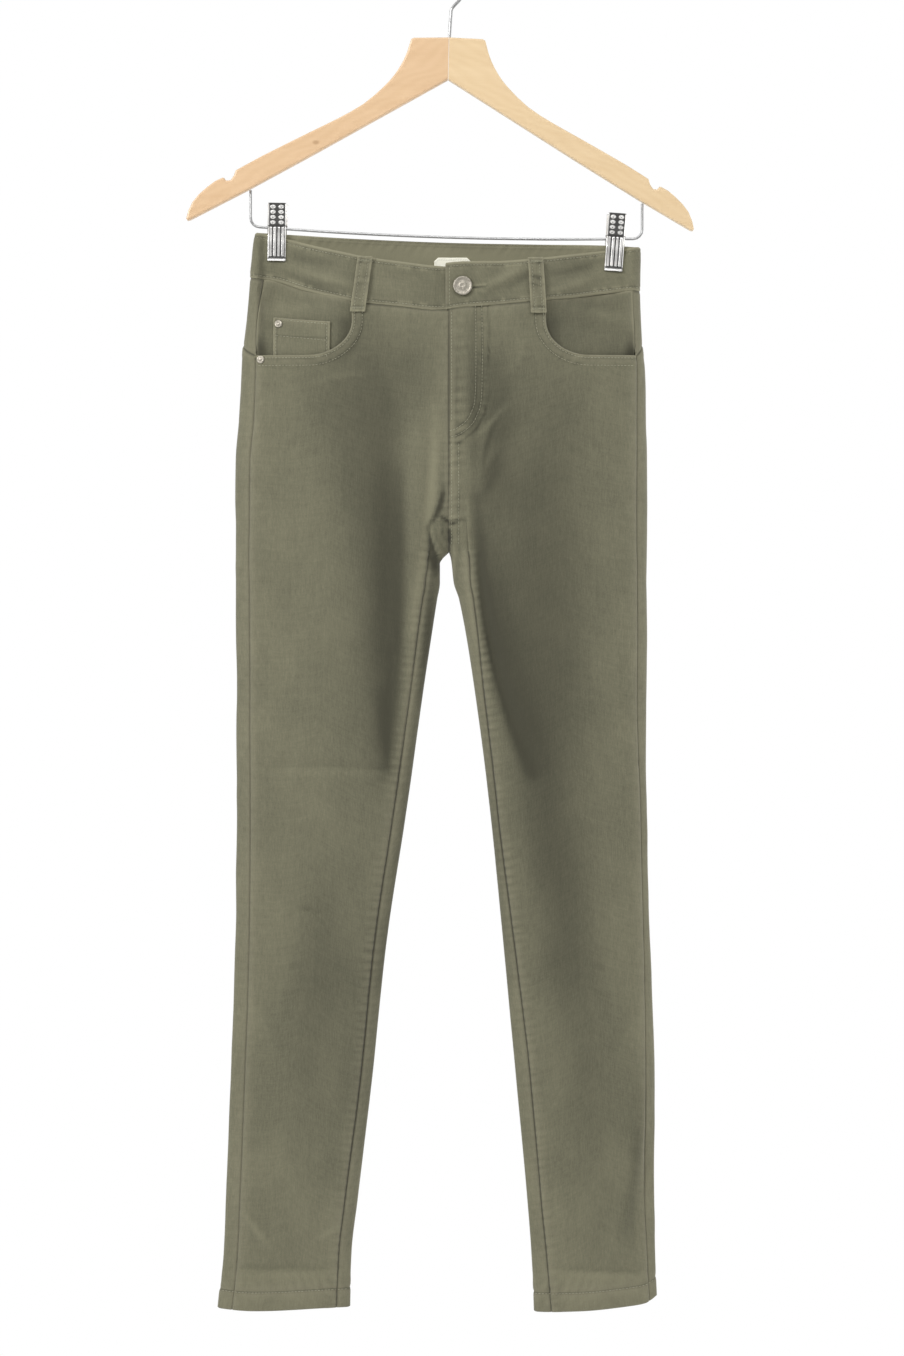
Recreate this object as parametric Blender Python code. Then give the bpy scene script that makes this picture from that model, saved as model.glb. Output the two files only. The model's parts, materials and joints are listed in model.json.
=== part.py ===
"""Skinny five-pocket jeans, hung by two clips from a wooden hanger.

Metres, +Z up. The hook rests on its rail at the origin, +X is to the right as the front is
seen, and the front of the jeans faces -Y. Every table is in millimetres. A drop is a depth
below the rail, and a distance across is measured from the centre seam, on either side.
"""

import math
from collections import namedtuple

import bmesh
import bpy
import numpy as np
from mathutils import Matrix, Vector

MM = 0.001
LEFT, RIGHT = -1, 1


def smooth(knots, values, where):
    """The height at where of a curve through the points that never swings past them."""
    step = np.diff(knots)
    slope = np.diff(values) / step
    tangent = np.concatenate([slope[:1], np.zeros(len(slope) - 1), slope[-1:]])
    rising = slope[:-1] * slope[1:] > 0
    before, after = slope[:-1][rising], slope[1:][rising]
    tangent[1:-1][rising] = 2 * before * after / (before + after)
    where = np.clip(where, knots[0], knots[-1])
    i = np.clip(np.searchsorted(knots, where, side="right") - 1, 0, len(step) - 1)
    t = (where - knots[i]) / step[i]
    blend = t * t * (3 - 2 * t)
    swing = t * (1 - t) ** 2 * tangent[i] - t**2 * (1 - t) * tangent[i + 1]
    return values[i] + (values[i + 1] - values[i]) * blend + step[i] * swing


def ease(edge_0, edge_1, where):
    """0 before edge_0, 1 past edge_1, and a soft rise between them."""
    t = np.clip((where - edge_0) / (edge_1 - edge_0), 0, 1)
    return t * t * (3 - 2 * t)


class Table:
    """Named columns of sizes against the first one, joined by smooth curves."""

    def __init__(self, columns, *rows):
        self.columns = columns.split()
        self.rows = np.array(rows, float) * MM

    def at(self, column, where):
        return smooth(self.rows[:, 0], self.rows[:, self.columns.index(column)], where)


# Cloth
CLOTH = 1.5 * MM
HEM_CLOTH = 2.6 * MM
HEM_LIFT = 0.5 * MM
HEM_HEIGHT = 17 * MM
BAND_CLOTH = 2.4 * MM
BAND_LIFT = 0.4 * MM
POCKET_CLOTH = 1.2 * MM
SEAM_GAP = 0.34 * MM
LAY_GAP = 0.5 * MM
BAND_GAP = 0.3 * MM  # more than the seam's own gap, as the band bends in more places

# Both legs, down the garment. outer and inner are the folded edges as the front shows them.
# outseam and inseam are how far in from those edges the seams lie, both on the front; above
# the crotch the inseam column is the reach of the fly's stitching from the centre.
LEGS = {
    LEFT: Table(
        "drop outer inner outseam inseam",
        (239, 169.5, 0, 12, 28),
        (278, 174, 0, 12, 28),
        (320, 178, 0, 10, 28),
        (350, 182, 0, 13, 27),
        (403, 185, 0, 14, 24),
        (440, 187.5, 0, 13.5, 20),
        (491, 187.5, 0, 13, 16),
        (518, 187.5, 0, 12.5, 17),
        (523, 187.5, 5, 12.5, 13),
        (529, 187.5, 8, 12.5, 10.5),
        (545, 187, 8, 12.5, 12.5),
        (560, 187, 10.5, 12.5, 12.5),
        (648, 186.5, 23.7, 12.3, 11),
        (753, 186, 38.5, 12.3, 11),
        (858, 187, 54.3, 12.3, 10.5),
        (981, 191, 67.5, 12.3, 10),
        (1086, 195, 80.3, 12.3, 11),
        (1130, 197, 85.3, 12.3, 11),
        (1181, 202, 87, 12.3, 11.5),
    ),
    RIGHT: Table(
        "drop outer inner outseam inseam",
        (239, 168, 0, 9, 28),
        (290, 167.5, 0, 7, 28),
        (335, 168.5, 0, 6, 27),
        (360, 171, 0, 7, 26),
        (403, 172, 0, 8, 24),
        (440, 173, 0, 9, 20),
        (491, 172.8, 0, 9, 15),
        (518, 172.5, 0, 8.5, 17),
        (523, 172.5, 1.4, 8.3, 16.5),
        (529, 172.5, 2.3, 8, 16),
        (545, 172.5, 4, 8, 15),
        (560, 172.5, 8.8, 8, 13),
        (648, 172.5, 23.7, 8, 7.5),
        (753, 173.8, 36.8, 5.7, 6.5),
        (858, 176.5, 47.3, 6, 9.5),
        (981, 179.3, 58.7, 7.5, 12.5),
        (1086, 180.5, 68.5, 9, 12),
        (1130, 181, 72, 7.5, 13),
        (1181, 182.2, 75, 6.5, 14.5),
    ),
}

# How deep the hung jeans are, forwards and backwards of the plane that the clips hang in.
DEPTHS = Table(
    "drop front back",
    (239, 14, 6),
    (265, 16, 7.5),
    (300, 18, 10),
    (350, 20, 15),
    (440, 21, 20),
    (518, 19, 20),
    (600, 17, 17.5),
    (780, 14, 14),
    (950, 12.5, 13),
    (1100, 11, 11.5),
    (1181, 10.5, 10.5),
)
FULLNESS = 0.8  # under 1 rounds a folded edge more bluntly than an ellipse
FOLD_FULL = 1.6  # how soon a fold reaches its full push, in from a folded edge

# The waistband's two edges, across the garment: the underlap side, the overlap side, the back.
BAND_UNDER = Table(
    "x top seam",
    (-174, 239.3, 278.3),
    (-150.5, 243.5, 281),
    (-125, 250, 288.8),
    (-97, 256.7, 296),
    (-71, 262, 301.5),
    (-43, 265.8, 304.2),
    (-10, 269.6, 307.2),
    (-1, 270, 307.2),
    (1, 270, 304.8),
    (12, 270, 303.4),
    (30, 270, 302),
)
BAND_OVER = Table(
    "x top seam",
    (-3, 267.1, 307.2),
    (14, 265.9, 304.6),
    (41, 265.5, 302.6),
    (81, 262.6, 298.7),
    (107, 259, 295.9),
    (134, 255.4, 292),
    (161, 252.6, 289.4),
    (168, 252.2, 290.3),
)
BAND_BACK = Table(
    "x top seam",
    (-174, 239.3, 278.3),
    (-106, 243.2, 282.2),
    (6, 247.9, 286.9),
    (134, 250.5, 289.3),
    (168, 252.2, 290.3),
)
TAB_END = -2.2 * MM  # the overlap's free end, left of the centre
UNDERLAP_END = 27 * MM
TAB_LIFT = 1.7 * MM
UNDERLAP_SINK = 1.1 * MM

# Rows: the crotch is a curved rise from rise_top to the apex where the legs part.
RISE_TOP = 446 * MM
FRONT_CROTCH = 491 * MM
APEX = 518 * MM
LEG_TOP = 548 * MM
HEM = Table(
    "x drop",
    (-202, 1179.5),
    (-172, 1181.5),
    (-87, 1178.5),
    (75, 1182.5),
    (114, 1181.5),
    (159, 1177),
    (171, 1175),
    (183, 1168.5),
)

# The pocket mouth: down from the waistband, round a corner, then level to the side seam.
MOUTH_ACROSS = 84.5 * MM
MOUTH_DROP = 347 * MM
MOUTH_CORNER = 38 * MM
MOUTH_STRAIGHT = 0.375  # the share of its height before the corner starts
YOKE_SIDE, YOKE_CENTRE = 337 * MM, 354 * MM

# The cloth that shows in a pocket mouth, and the coin pocket on the left one.
FACING_UNDER, FACING_BELOW = 14 * MM, 24 * MM  # how far it runs on behind the panel
FACING_SIDE, FACING_TOP = 1.2 * MM, 0.6 * MM  # how far it stops short of the two seams
FACING_FACE = CLOTH + LAY_GAP + 0.1 * MM  # how far in its outer face lies
FACING_SINK = 1.7 * MM  # and how much further behind the coin pocket
COIN_FACE = CLOTH + 0.5 * MM
COIN_TOP = ((-153.5, 313), (-104.5, 317.5))
COIN_FOOT = 356

# A back pocket's corners: across and down at its top and at its foot, and its point.
BACK_POCKET_TOP = ((38, 386), (158, 374))
BACK_POCKET_FOOT = ((45, 498), (150, 490))
BACK_POCKET_POINT = 14
PLACKET = ((-7, 309.5), (31, 421.5))
LABEL = ((-12.7, 260.2), (18.9, 290.2))
LABEL_CLOTH = 1.0 * MM

# Small metal: where each is on the front, and how far in or out its base lies.
SEAT = 0.3 * MM
BUTTON_AT = (11.9, 286.7)
RIVETS = (
    ("left", -164.5, 350.5, SEAT),
    ("right", 159.5, 352, SEAT),
    ("coin", -149.3, 318.6, SEAT - COIN_FACE),
)

# What the clips hold: they press the waistband flat over their own width.
Clip = namedtuple("Clip", "side name across bottom lean")
CLIPS = (
    Clip(LEFT, "left", 151 * MM, 263.3 * MM, math.radians(-1)),
    Clip(RIGHT, "right", 143.8 * MM, 272.1 * MM, math.radians(4.2)),
)
PINCHED = 2.25 * MM  # from the middle to the outer face, under a clip
PINCH_FLAT = 10.5 * MM  # half the width that is pressed flat
PINCH_OUT, PINCH_IN = 8 * MM, 55 * MM  # how soon the cloth fills out again on either side
PINCH_DOWN = (8 * MM, 85 * MM)  # and where it does so below the clip

# The largest folds. push is outwards, bow is how far the middle of the line bends, to its left.
Fold = namedtuple("Fold", "x_0 drop_0 x_1 drop_1 bow width push")
FRONT_FOLDS = (
    Fold(22, 470, 80, 715, 14, 9, -5.5),
    Fold(12, 560, 34, 700, 2, 8, 2.0),
    Fold(-44, 440, -40, 640, 0, 14, -3.5),
    Fold(-19, 330, -32, 560, 0, 10, 2.5),
    Fold(-160, 706, -42, 709, 2, 5, -1.6),
    Fold(-140, 830, -104, 833, 0, 5, -1.2),
    Fold(-190, 1144, -92, 1146, 0, 5, -1.6),
    Fold(-182, 1090, -154, 1128, 0, 6, 1.4),
    Fold(84, 1144, 180, 1147, 0, 5, -1.5),
    Fold(172, 975, 146, 1128, 4, 7, 2.2),
    Fold(178, 1000, 160, 1120, 3, 6, -1.6),
    Fold(30, 424, 62, 380, -3, 6, 1.8),
    Fold(40, 430, 74, 396, -3, 6, -1.4),
    Fold(-137, 262, -84, 287, -2, 5, 1.5),
    Fold(-140, 276, -92, 290, -2, 4, -1.1),
    Fold(134, 274, 84, 293, 2, 5, 1.4),
    Fold(28, 292, 70, 271, 1, 4, 1.3),
)
BACK_FOLDS = (
    Fold(-28, 500, -82, 660, -10, 10, -4.0),
    Fold(26, 505, 84, 690, 10, 10, -4.0),
    Fold(-150, 712, -52, 720, 3, 7, -2.2),
    Fold(58, 742, 150, 736, 3, 7, -2.2),
    Fold(-148, 548, -60, 572, -6, 9, -2.2),
    Fold(52, 566, 150, 540, 6, 9, -2.4),
    Fold(-170, 1120, -96, 1134, 2, 6, -1.5),
    Fold(88, 1130, 168, 1118, 2, 6, -1.6),
)

# The mesh: how many cells each stretch has, across from the centre and down from the waist.
ACROSS = (("inseam", 3), ("front", 5), ("mouth", 4), ("fold", 2), ("back", 10))
DOWN = (
    ("pocket", 6),
    ("hip", 4),
    ("rise", 3),
    ("under", 4),
    ("crotch", 4),
    ("leg", 18),
    ("turn", 1),
    ("hem", 2),
)


def fold_push(folds, x, drop):
    """How far the folds move the cloth out at a place."""
    push = np.zeros(np.broadcast(x, drop).shape)
    for fold in folds:
        along = np.array([fold.x_1 - fold.x_0, fold.drop_1 - fold.drop_0]) * MM
        length = math.hypot(*along)
        right, down = x - fold.x_0 * MM, drop - fold.drop_0 * MM
        t = (right * along[0] + down * along[1]) / length**2
        inside = np.clip(t, 0, 1)
        off = (right * along[1] - down * along[0]) / length
        off = off - 4 * fold.bow * MM * inside * (1 - inside)
        beyond = (t - inside) * length
        reach = np.hypot(off, beyond) / (fold.width * MM)
        push += fold.push * MM * np.exp(-(reach**2)) * np.sin(np.pi * (0.12 + 0.76 * inside))
    return push


def pinch(x, drop):
    """1 where a clip presses the cloth flat, fading to 0 away from it."""
    held = 0
    for clip in CLIPS:
        out = (x - clip.side * clip.across) * clip.side
        near = 1 - ease(PINCH_FLAT, PINCH_FLAT + PINCH_OUT, out)
        near = near * (1 - ease(PINCH_FLAT, PINCH_FLAT + PINCH_IN, -out))
        held = held + near * (1 - ease(*(clip.bottom + d for d in PINCH_DOWN), drop))
    return held


def rise(drop):
    """How far the centre seam stands out from the middle: 1 down to the rise, 0 at the apex."""
    return np.sqrt(1 - np.clip((drop - RISE_TOP) / (APEX - RISE_TOP), 0, 1) ** 2)


def cloth(side, angle, drop):
    """The outer face of one half. The angle runs from the centre or inner edge, over the
    front (pi/2), round the outer edge (pi), over the back and home (2 pi)."""
    leg = LEGS[side]
    inner, outer = leg.at("inner", drop), leg.at("outer", drop)
    x = side * (inner + (outer - inner) * (1 - np.cos(angle)) / 2)
    front = angle < np.pi
    curve = np.abs(np.sin(angle)) ** FULLNESS
    open_curve = rise(drop) + (1 - rise(drop)) * curve
    curve = np.where(np.cos(angle) > 0, open_curve, curve)
    half = curve * np.where(front, DEPTHS.at("front", drop), DEPTHS.at("back", drop))
    half = half + (np.minimum(half, PINCHED) - half) * pinch(x, drop)
    folds = np.where(front, fold_push(FRONT_FOLDS, x, drop), fold_push(BACK_FOLDS, x, drop))
    half = half + folds * np.clip(FOLD_FULL * curve, 0, 1) * (1 - pinch(x, drop))
    return np.stack(np.broadcast_arrays(x, np.where(front, -half, half), -drop), axis=-1)


def skin(side, angle, drop):
    """Points of the outer face, and the normals there."""
    step = 0.03
    before = cloth(side, np.maximum(angle - step, 0), drop)
    after = cloth(side, np.minimum(angle + step, 2 * np.pi), drop)
    above, below = cloth(side, angle, drop - MM), cloth(side, angle, drop + MM)
    normal = -side * np.cross(after - before, below - above)
    return cloth(side, angle, drop), normal / np.linalg.norm(normal, axis=-1, keepdims=True)


def angle_at(side, x, drop, back=False):
    """The angle round the leg of a place given by its distance to the right."""
    inner, outer = LEGS[side].at("inner", drop), LEGS[side].at("outer", drop)
    angle = np.arccos(np.clip(1 - 2 * (side * x - inner) / (outer - inner), -1, 1))
    return 2 * np.pi - angle if back else angle


def face_skin(x, drop, back=False):
    """Points and normals on the front or the back, at places given as the front is seen."""
    x, drop = np.broadcast_arrays(np.asarray(x, float), np.asarray(drop, float))
    sides = [skin(side, angle_at(side, x, drop, back), drop) for side in (LEFT, RIGHT)]
    pick = (x > 0)[..., None]
    return tuple(np.where(pick, right, left) for left, right in zip(*sides))


def waist_seam(side, x, back):
    table = BAND_BACK if back else BAND_UNDER if side == LEFT else BAND_OVER
    return table.at("seam", x)


def lines(stretches):
    """Each grid line as (stretch, share of the way along it), and where each stretch starts."""
    found, starts = [], {}
    for name, cells in stretches:
        starts[name] = len(found)
        found += [(name, i / cells) for i in range(cells)]
    starts["end"] = len(found)
    return found + [(stretches[-1][0], 1.0)], starts


def pocket_share(t):
    """How far down its height the pocket mouth is, and how far it has swung sideways."""
    corner = np.clip((t - 1 / 3) / (2 / 3), 0, 1) * np.pi / 2
    if t < 1 / 3:
        return MOUTH_STRAIGHT * 3 * t, 0.0
    return MOUTH_STRAIGHT + (1 - MOUTH_STRAIGHT) * math.sin(corner), 1 - math.cos(corner)


def row_drop(side, row, x, around):
    """The drop of a grid row where it crosses x. around is 0 on the front, 1 on the back."""
    name, t = row
    seam = (1 - around) * waist_seam(side, x, False) + around * waist_seam(side, x, True)
    share = np.abs(x) / LEGS[side].at("outer", YOKE_SIDE)
    yoke = YOKE_CENTRE + (YOKE_SIDE - YOKE_CENTRE) * share
    pocket = (1 - around) * MOUTH_DROP + around * yoke
    hem_top = HEM.at("drop", x) - HEM_HEIGHT
    front_turn = math.asin((FRONT_CROTCH - RISE_TOP) / (APEX - RISE_TOP))
    if name == "pocket":
        return seam + (pocket - seam) * pocket_share(t)[0]
    if name == "hip":
        return pocket + (RISE_TOP - pocket) * t
    if name == "rise":
        return RISE_TOP + (APEX - RISE_TOP) * math.sin(front_turn * t) + 0 * x
    if name == "under":
        turn = front_turn + (np.pi / 2 - front_turn) * t
        return RISE_TOP + (APEX - RISE_TOP) * math.sin(turn) + 0 * x
    if name == "crotch":
        return APEX + (LEG_TOP - APEX) * t**1.5 + 0 * x
    if name == "leg":
        return LEG_TOP + (hem_top - LEG_TOP) * t
    if name == "turn":
        return hem_top + MM * t
    return hem_top + MM + (HEM_HEIGHT - MM) * t


def row_places(side, row, columns):
    """(angle, drop) of each column line in one row."""
    leg = LEGS[side]

    def key(width_of, start):
        """A seam's x and drop in this row: its place depends on its own drop."""
        x = side * start
        for _ in range(4):
            drop = row_drop(side, row, x, 0.0)
            x = side * width_of(drop)
        return x

    fly = key(lambda d: leg.at("inner", d) + leg.at("inseam", d), 20 * MM)
    out = key(lambda d: leg.at("outer", d) - leg.at("outseam", d), 170 * MM)
    easy = fly + 0.55 * (out - fly)
    if row[0] == "pocket":
        mouth = side * (MOUTH_ACROSS + MOUTH_CORNER * pocket_share(row[1])[1])
    elif row[0] == "hip":
        mouth = side * (MOUTH_ACROSS + MOUTH_CORNER)
        mouth = mouth + (easy - mouth) * ease(0, 1, row[1])
    else:
        mouth = easy
    spans = {"front": (fly, mouth), "mouth": (mouth, out)}
    fly_angle = angle_at(side, fly, row_drop(side, row, fly, 0.0))
    out_angle = angle_at(side, out, row_drop(side, row, out, 0.0))
    places = []
    for name, t in columns:
        if name in spans:
            x = spans[name][0] + (spans[name][1] - spans[name][0]) * t
            drop = row_drop(side, row, x, 0.0)
            places.append((angle_at(side, x, drop), drop))
            continue
        if name == "inseam":
            angle, around = fly_angle * t, 0.0
        elif name == "fold":
            angle, around = out_angle + (np.pi - out_angle) * t, t
        else:
            angle, around = np.pi * (1 + t), 1.0
        drop = row_drop(side, row, side * 0.1, around)
        for _ in range(4):
            drop = row_drop(side, row, cloth(side, angle, drop)[..., 0], around)
        places.append((angle, float(drop)))
    return places


class Half:
    """The grid of one half of the jeans: points, normals and the cells of any block of it."""

    def __init__(self, side):
        self.side = side
        self.columns, self.column_start = lines(ACROSS)
        self.rows, self.row_start = lines(DOWN)
        places = np.array([row_places(side, row, self.columns) for row in self.rows])
        self.points, self.normals = skin(side, places[..., 0], places[..., 1])
        closed = self.row_start["crotch"]
        ends = self.normals[closed:, 0] + self.normals[closed:, -1]
        self.normals[closed:, 0] = ends / np.linalg.norm(ends, axis=-1, keepdims=True)
        self.closed = closed

    def corner(self, row, column):
        """A point's number. Below the apex the last column is the first one."""
        last = len(self.columns) - 1
        column = 0 if column == last and row >= self.closed else column
        return row * len(self.columns) + column

    def block(self, columns, rows):
        """The cells of a block, given by the first and the past-last stretch each way."""
        cells = []
        for i in range(self.row_start[rows[0]], self.row_start[rows[1]]):
            for j in range(self.column_start[columns[0]], self.column_start[columns[1]]):
                cell = [self.corner(i, j), self.corner(i, j + 1)]
                cell += [self.corner(i + 1, j + 1), self.corner(i + 1, j)]
                cells.append(cell if self.side == LEFT else cell[::-1])
        return cells

    def hem_rows(self):
        """True for each point of the turned-up hem."""
        rows = np.arange(len(self.rows)) >= self.row_start["hem"]
        return np.repeat(rows, len(self.columns))


def inset(points, cells, gap):
    """How far each border point moves in so that every border edge draws back by the gap."""
    owner = {}
    for cell in cells:
        for a, b in zip(cell, cell[1:] + cell[:1]):
            owner[a, b] = cell
    border = [edge for edge in owner if edge[::-1] not in owner]
    pulls = {}
    for a, b in border:
        along = (points[b] - points[a]) / np.linalg.norm(points[b] - points[a])
        inward = points[owner[a, b]].mean(axis=0) - (points[a] + points[b]) / 2
        inward -= along * inward.dot(along)
        inward /= np.linalg.norm(inward)
        pulls.setdefault(a, []).append(inward)
        pulls.setdefault(b, []).append(inward)
    move = np.zeros_like(points)
    for corner, found in pulls.items():
        spread = 1 + found[0].dot(found[-1]) if len(found) == 2 else 1
        move[corner] = gap * sum(found) / max(spread, 0.5)
    return move, border


def material(name, colour, roughness, metallic=0.0):
    made = bpy.data.materials.get(name) or bpy.data.materials.new(name)
    made.use_nodes = True
    shader = made.node_tree.nodes["Principled BSDF"]
    shader.inputs["Base Color"].default_value = (*colour, 1)
    shader.inputs["Roughness"].default_value = roughness
    shader.inputs["Metallic"].default_value = metallic
    return made


def looks():
    return {
        "twill": material("twill", (0.155, 0.15, 0.095), 0.9),
        "label": material("label", (0.8, 0.78, 0.66), 0.85),
        "wood": material("wood", (0.78, 0.58, 0.36), 0.45),
        "steel": material("steel", (0.72, 0.72, 0.7), 0.3, 1.0),
        "pewter": material("pewter", (0.36, 0.34, 0.28), 0.4, 1.0),
    }


def add(name, mesh, look):
    """A finished mesh as an object of its own, shaded smooth but for its sharp edges."""
    mesh.materials.append(look)
    mesh.shade_smooth()
    mesh.set_sharp_from_angle(angle=math.radians(35))
    made = bpy.data.objects.new(name, mesh)
    bpy.context.collection.objects.link(made)
    return made


def wall(name, look, grid, cells, lift=0.0, thickness=CLOTH, gap=SEAM_GAP / 2):
    """A closed wall of cloth on some cells of a grid, its outer face moved out by the lift."""
    points, normals = (part.reshape(-1, 3) for part in grid)
    move, border = inset(points, cells, gap)
    lift, thickness = (np.broadcast_to(v, len(points))[:, None] for v in (lift, thickness))
    outer = points + move + normals * lift
    inner = outer - normals * thickness
    used = sorted({corner for cell in cells for corner in cell})
    place = {corner: i for i, corner in enumerate(used)}
    under = len(used)
    faces = [[place[c] for c in cell] for cell in cells]
    faces += [[place[c] + under for c in reversed(cell)] for cell in cells]
    faces += [[place[b], place[a], place[a] + under, place[b] + under] for a, b in border]
    mesh = bpy.data.meshes.new(name)
    mesh.from_pydata(np.concatenate([outer[used], inner[used]]).tolist(), [], faces)
    return add(name, mesh, look)


def patch(name, look, across, down, place, back=False, over=LAY_GAP, thickness=POCKET_CLOTH):
    """A wall laid on the front or the back. place turns the shares across and down into
    (x, drop); over is how far its inner face lies out from the panel's outer face."""
    u, v = np.meshgrid(np.linspace(0, 1, across + 1), np.linspace(0, 1, down + 1))
    x, drop = place(u, v)
    grid = face_skin(x, drop, back)
    over = over(u, v) if callable(over) else over + 0 * u
    cells = []
    for i in range(down):
        for j in range(across):
            a = i * (across + 1) + j
            cell = [a, a + 1, a + across + 2, a + across + 1]
            rightwards = x[0, -1] > x[0, 0]
            cells.append(cell if rightwards == back else cell[::-1])
    return wall(name, look, grid, cells, (over + thickness).ravel(), thickness, gap=0.0)


def panels(side, name, look):
    half = Half(side)
    grid = half.points, half.normals
    hem = half.hem_rows()
    lift = np.where(hem, HEM_LIFT, 0.0)
    thickness = np.where(hem, HEM_CLOTH, CLOTH)
    front = half.block(("inseam", "mouth"), ("pocket", "under"))
    front += half.block(("front", "mouth"), ("under", "end"))
    front += half.block(("mouth", "fold"), ("hip", "end"))
    back = half.block(("fold", "end"), ("hip", "end"))
    back += half.block(("inseam", "front"), ("under", "end"))
    yoke = half.block(("fold", "end"), ("pocket", "hip"))
    wall(f"front_{name}", look, grid, front, lift, thickness)
    wall(f"back_{name}", look, grid, back, lift, thickness)
    wall(f"yoke_{name}", look, grid, yoke)


def band_stations():
    """(side, angle, table, lift) of each upright of the waistband, from the underlap round."""
    level = 265 * MM

    def front_run(side, x_from, x_to, cells):
        xs = np.linspace(x_from, x_to, cells + 1)[:-1]
        return [(side, float(angle_at(side, x, level))) for x in xs]

    def half_run(side, back):
        """From the centre to the outer edge, with lines at both sides of the clip."""
        clip = CLIPS[(side + 1) // 2]
        inner, outer = clip.across - PINCH_FLAT, clip.across + PINCH_FLAT
        run = front_run(side, 0, side * inner, 9) + front_run(side, side * inner, side * outer, 2)
        last = float(angle_at(side, side * outer, level))
        run += [(side, last + (np.pi - last) * i / 4) for i in range(4)]
        return [(s, 2 * np.pi - angle) for s, angle in run] if back else run

    under = [(*station, BAND_UNDER) for station in front_run(RIGHT, UNDERLAP_END, 0, 3)]
    under += [(*station, BAND_UNDER) for station in half_run(LEFT, False)]
    rear = [(LEFT, np.pi, BAND_BACK)]
    rear += [(*station, BAND_BACK) for station in half_run(LEFT, True)[:0:-1]]
    rear += [(*station, BAND_BACK) for station in half_run(RIGHT, True)]
    over = [(RIGHT, np.pi, BAND_OVER)]
    over += [(*station, BAND_OVER) for station in half_run(RIGHT, False)[::-1]]
    over += [(LEFT, float(angle_at(LEFT, TAB_END, level)), BAND_OVER)]
    return under + rear + over


def band_lift(x, table):
    """The tab rides over the underlap, which sinks behind it."""
    if table is BAND_UNDER:
        return BAND_LIFT - UNDERLAP_SINK * ease(-16 * MM, -4 * MM, x)
    if table is BAND_OVER:
        return BAND_LIFT + TAB_LIFT * (1 - ease(UNDERLAP_END + MM, UNDERLAP_END + 18 * MM, x))
    return BAND_LIFT + 0 * x


def waistband(look):
    rows = 3
    points, normals, lifts = [], [], []
    for side, angle, table in band_stations():
        edge_x = cloth(side, angle, 270 * MM)[0]
        top, seam = table.at("top", edge_x), table.at("seam", edge_x) - BAND_GAP
        drop = np.linspace(top, seam, rows + 1)
        point, normal = skin(side, np.full(rows + 1, angle), drop)
        points.append(point)
        normals.append(normal)
        lifts.append(band_lift(point[:, 0], table))
    count = rows + 1
    cells = []
    for i in range(len(points) - 1):
        for j in range(rows):
            a = i * count + j
            cells.append([a, a + count, a + count + 1, a + 1])
    wall("waistband", look, (np.array(points), np.array(normals)), cells,
         np.array(lifts).ravel(), BAND_CLOTH)


def facing(side, name, look):
    """The cloth behind a pocket mouth: from under the panel's edge to the side seam."""
    leg = LEGS[side]
    start, foot = MOUTH_ACROSS - FACING_UNDER, MOUTH_DROP + FACING_BELOW

    def place(u, v):
        x = side * (start + 80 * MM * u)
        for _ in range(4):
            top = waist_seam(side, x, False) + FACING_TOP
            drop = top + (foot - top) * v
            out = leg.at("outer", drop) - leg.at("outseam", drop) - FACING_SIDE
            x = side * (start + (out - start) * u)
        return x, drop

    return patch(f"facing_{name}", look, 9, 8, place, over=facing_depth(side))


def facing_depth(side):
    """How far out the facing's inner face lies: behind the panel, and behind the coin pocket."""
    rest = -FACING_FACE - POCKET_CLOTH
    if side == RIGHT:
        return rest

    def over(u, v):
        sunk = ease(0, 0.12, u) * ease(1, 0.88, u) * ease(0, 0.14, v) * ease(1, 0.86, v)
        return rest - FACING_SINK * sunk

    return over


def coin_pocket(look):
    """The small patch pocket on the left facing, its foot tucked behind the panel's edge."""
    (left, top_left), (right, top_right) = COIN_TOP

    def place(u, v):
        top = top_left + (top_right - top_left) * u
        return (left + (right - left) * u) * MM, (top + (COIN_FOOT - top) * v) * MM

    patch("coin_pocket", look, 6, 6, place, over=-COIN_FACE - POCKET_CLOTH)


def box_place(corners):
    """Turns the shares across and down into places in an upright rectangle."""
    (left, top), (right, foot) = corners
    return lambda u, v: ((left + (right - left) * u) * MM, (top + (foot - top) * v) * MM)


def fly_placket(look):
    """The shield behind the fly."""
    over = -CLOTH - LAY_GAP - POCKET_CLOTH
    patch("fly_placket", look, 5, 9, box_place(PLACKET), over=over)


def back_pocket(side, name, look):
    """A patch pocket with a slanted top and a shallow point."""

    def edge(corners, u):
        (near, near_drop), (far, far_drop) = corners
        return near + (far - near) * u, near_drop + (far_drop - near_drop) * u

    def place(u, v):
        top_x, top = edge(BACK_POCKET_TOP, u)
        foot_x, foot = edge(BACK_POCKET_FOOT, u)
        foot = foot + BACK_POCKET_POINT * (1 - np.abs(2 * u - 1))
        return side * (top_x + (foot_x - top_x) * v) * MM, (top + (foot - top) * v) * MM

    patch(f"back_pocket_{name}", look, 8, 6, place, back=True)


LOOP_WIDTH = 12.3
LOOP_CLOTH = 1.6 * MM
LOOP_RISE = 1.3 * MM  # how far its middle stands off the band
Loop = namedtuple("Loop", "name x_top top x_foot foot back")
LOOPS = (
    Loop("front_left", -73.1, 261.5, -79.7, 309, False),
    Loop("front_right", 75.3, 262.3, 78.2, 310, False),
    Loop("back_left", -96, 243.9, -97, 293, True),
    Loop("back_centre", 0, 247.8, 0, 297.5, True),
    Loop("back_right", 96, 249.7, 97, 299, True),
)


def belt_loop(loop, look):
    """A flat loop, tacked down at both ends and standing a little off the band between."""

    def place(u, v):
        x = loop.x_top + (loop.x_foot - loop.x_top) * v
        return (x + LOOP_WIDTH * (u - 0.5)) * MM, (loop.top + (loop.foot - loop.top) * v) * MM

    def over(u, v):
        return BAND_LIFT + LAY_GAP + LOOP_RISE * np.sin(np.pi * v)

    patch(f"loop_{loop.name}", look, 2, 8, place, loop.back, over, LOOP_CLOTH)


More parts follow.
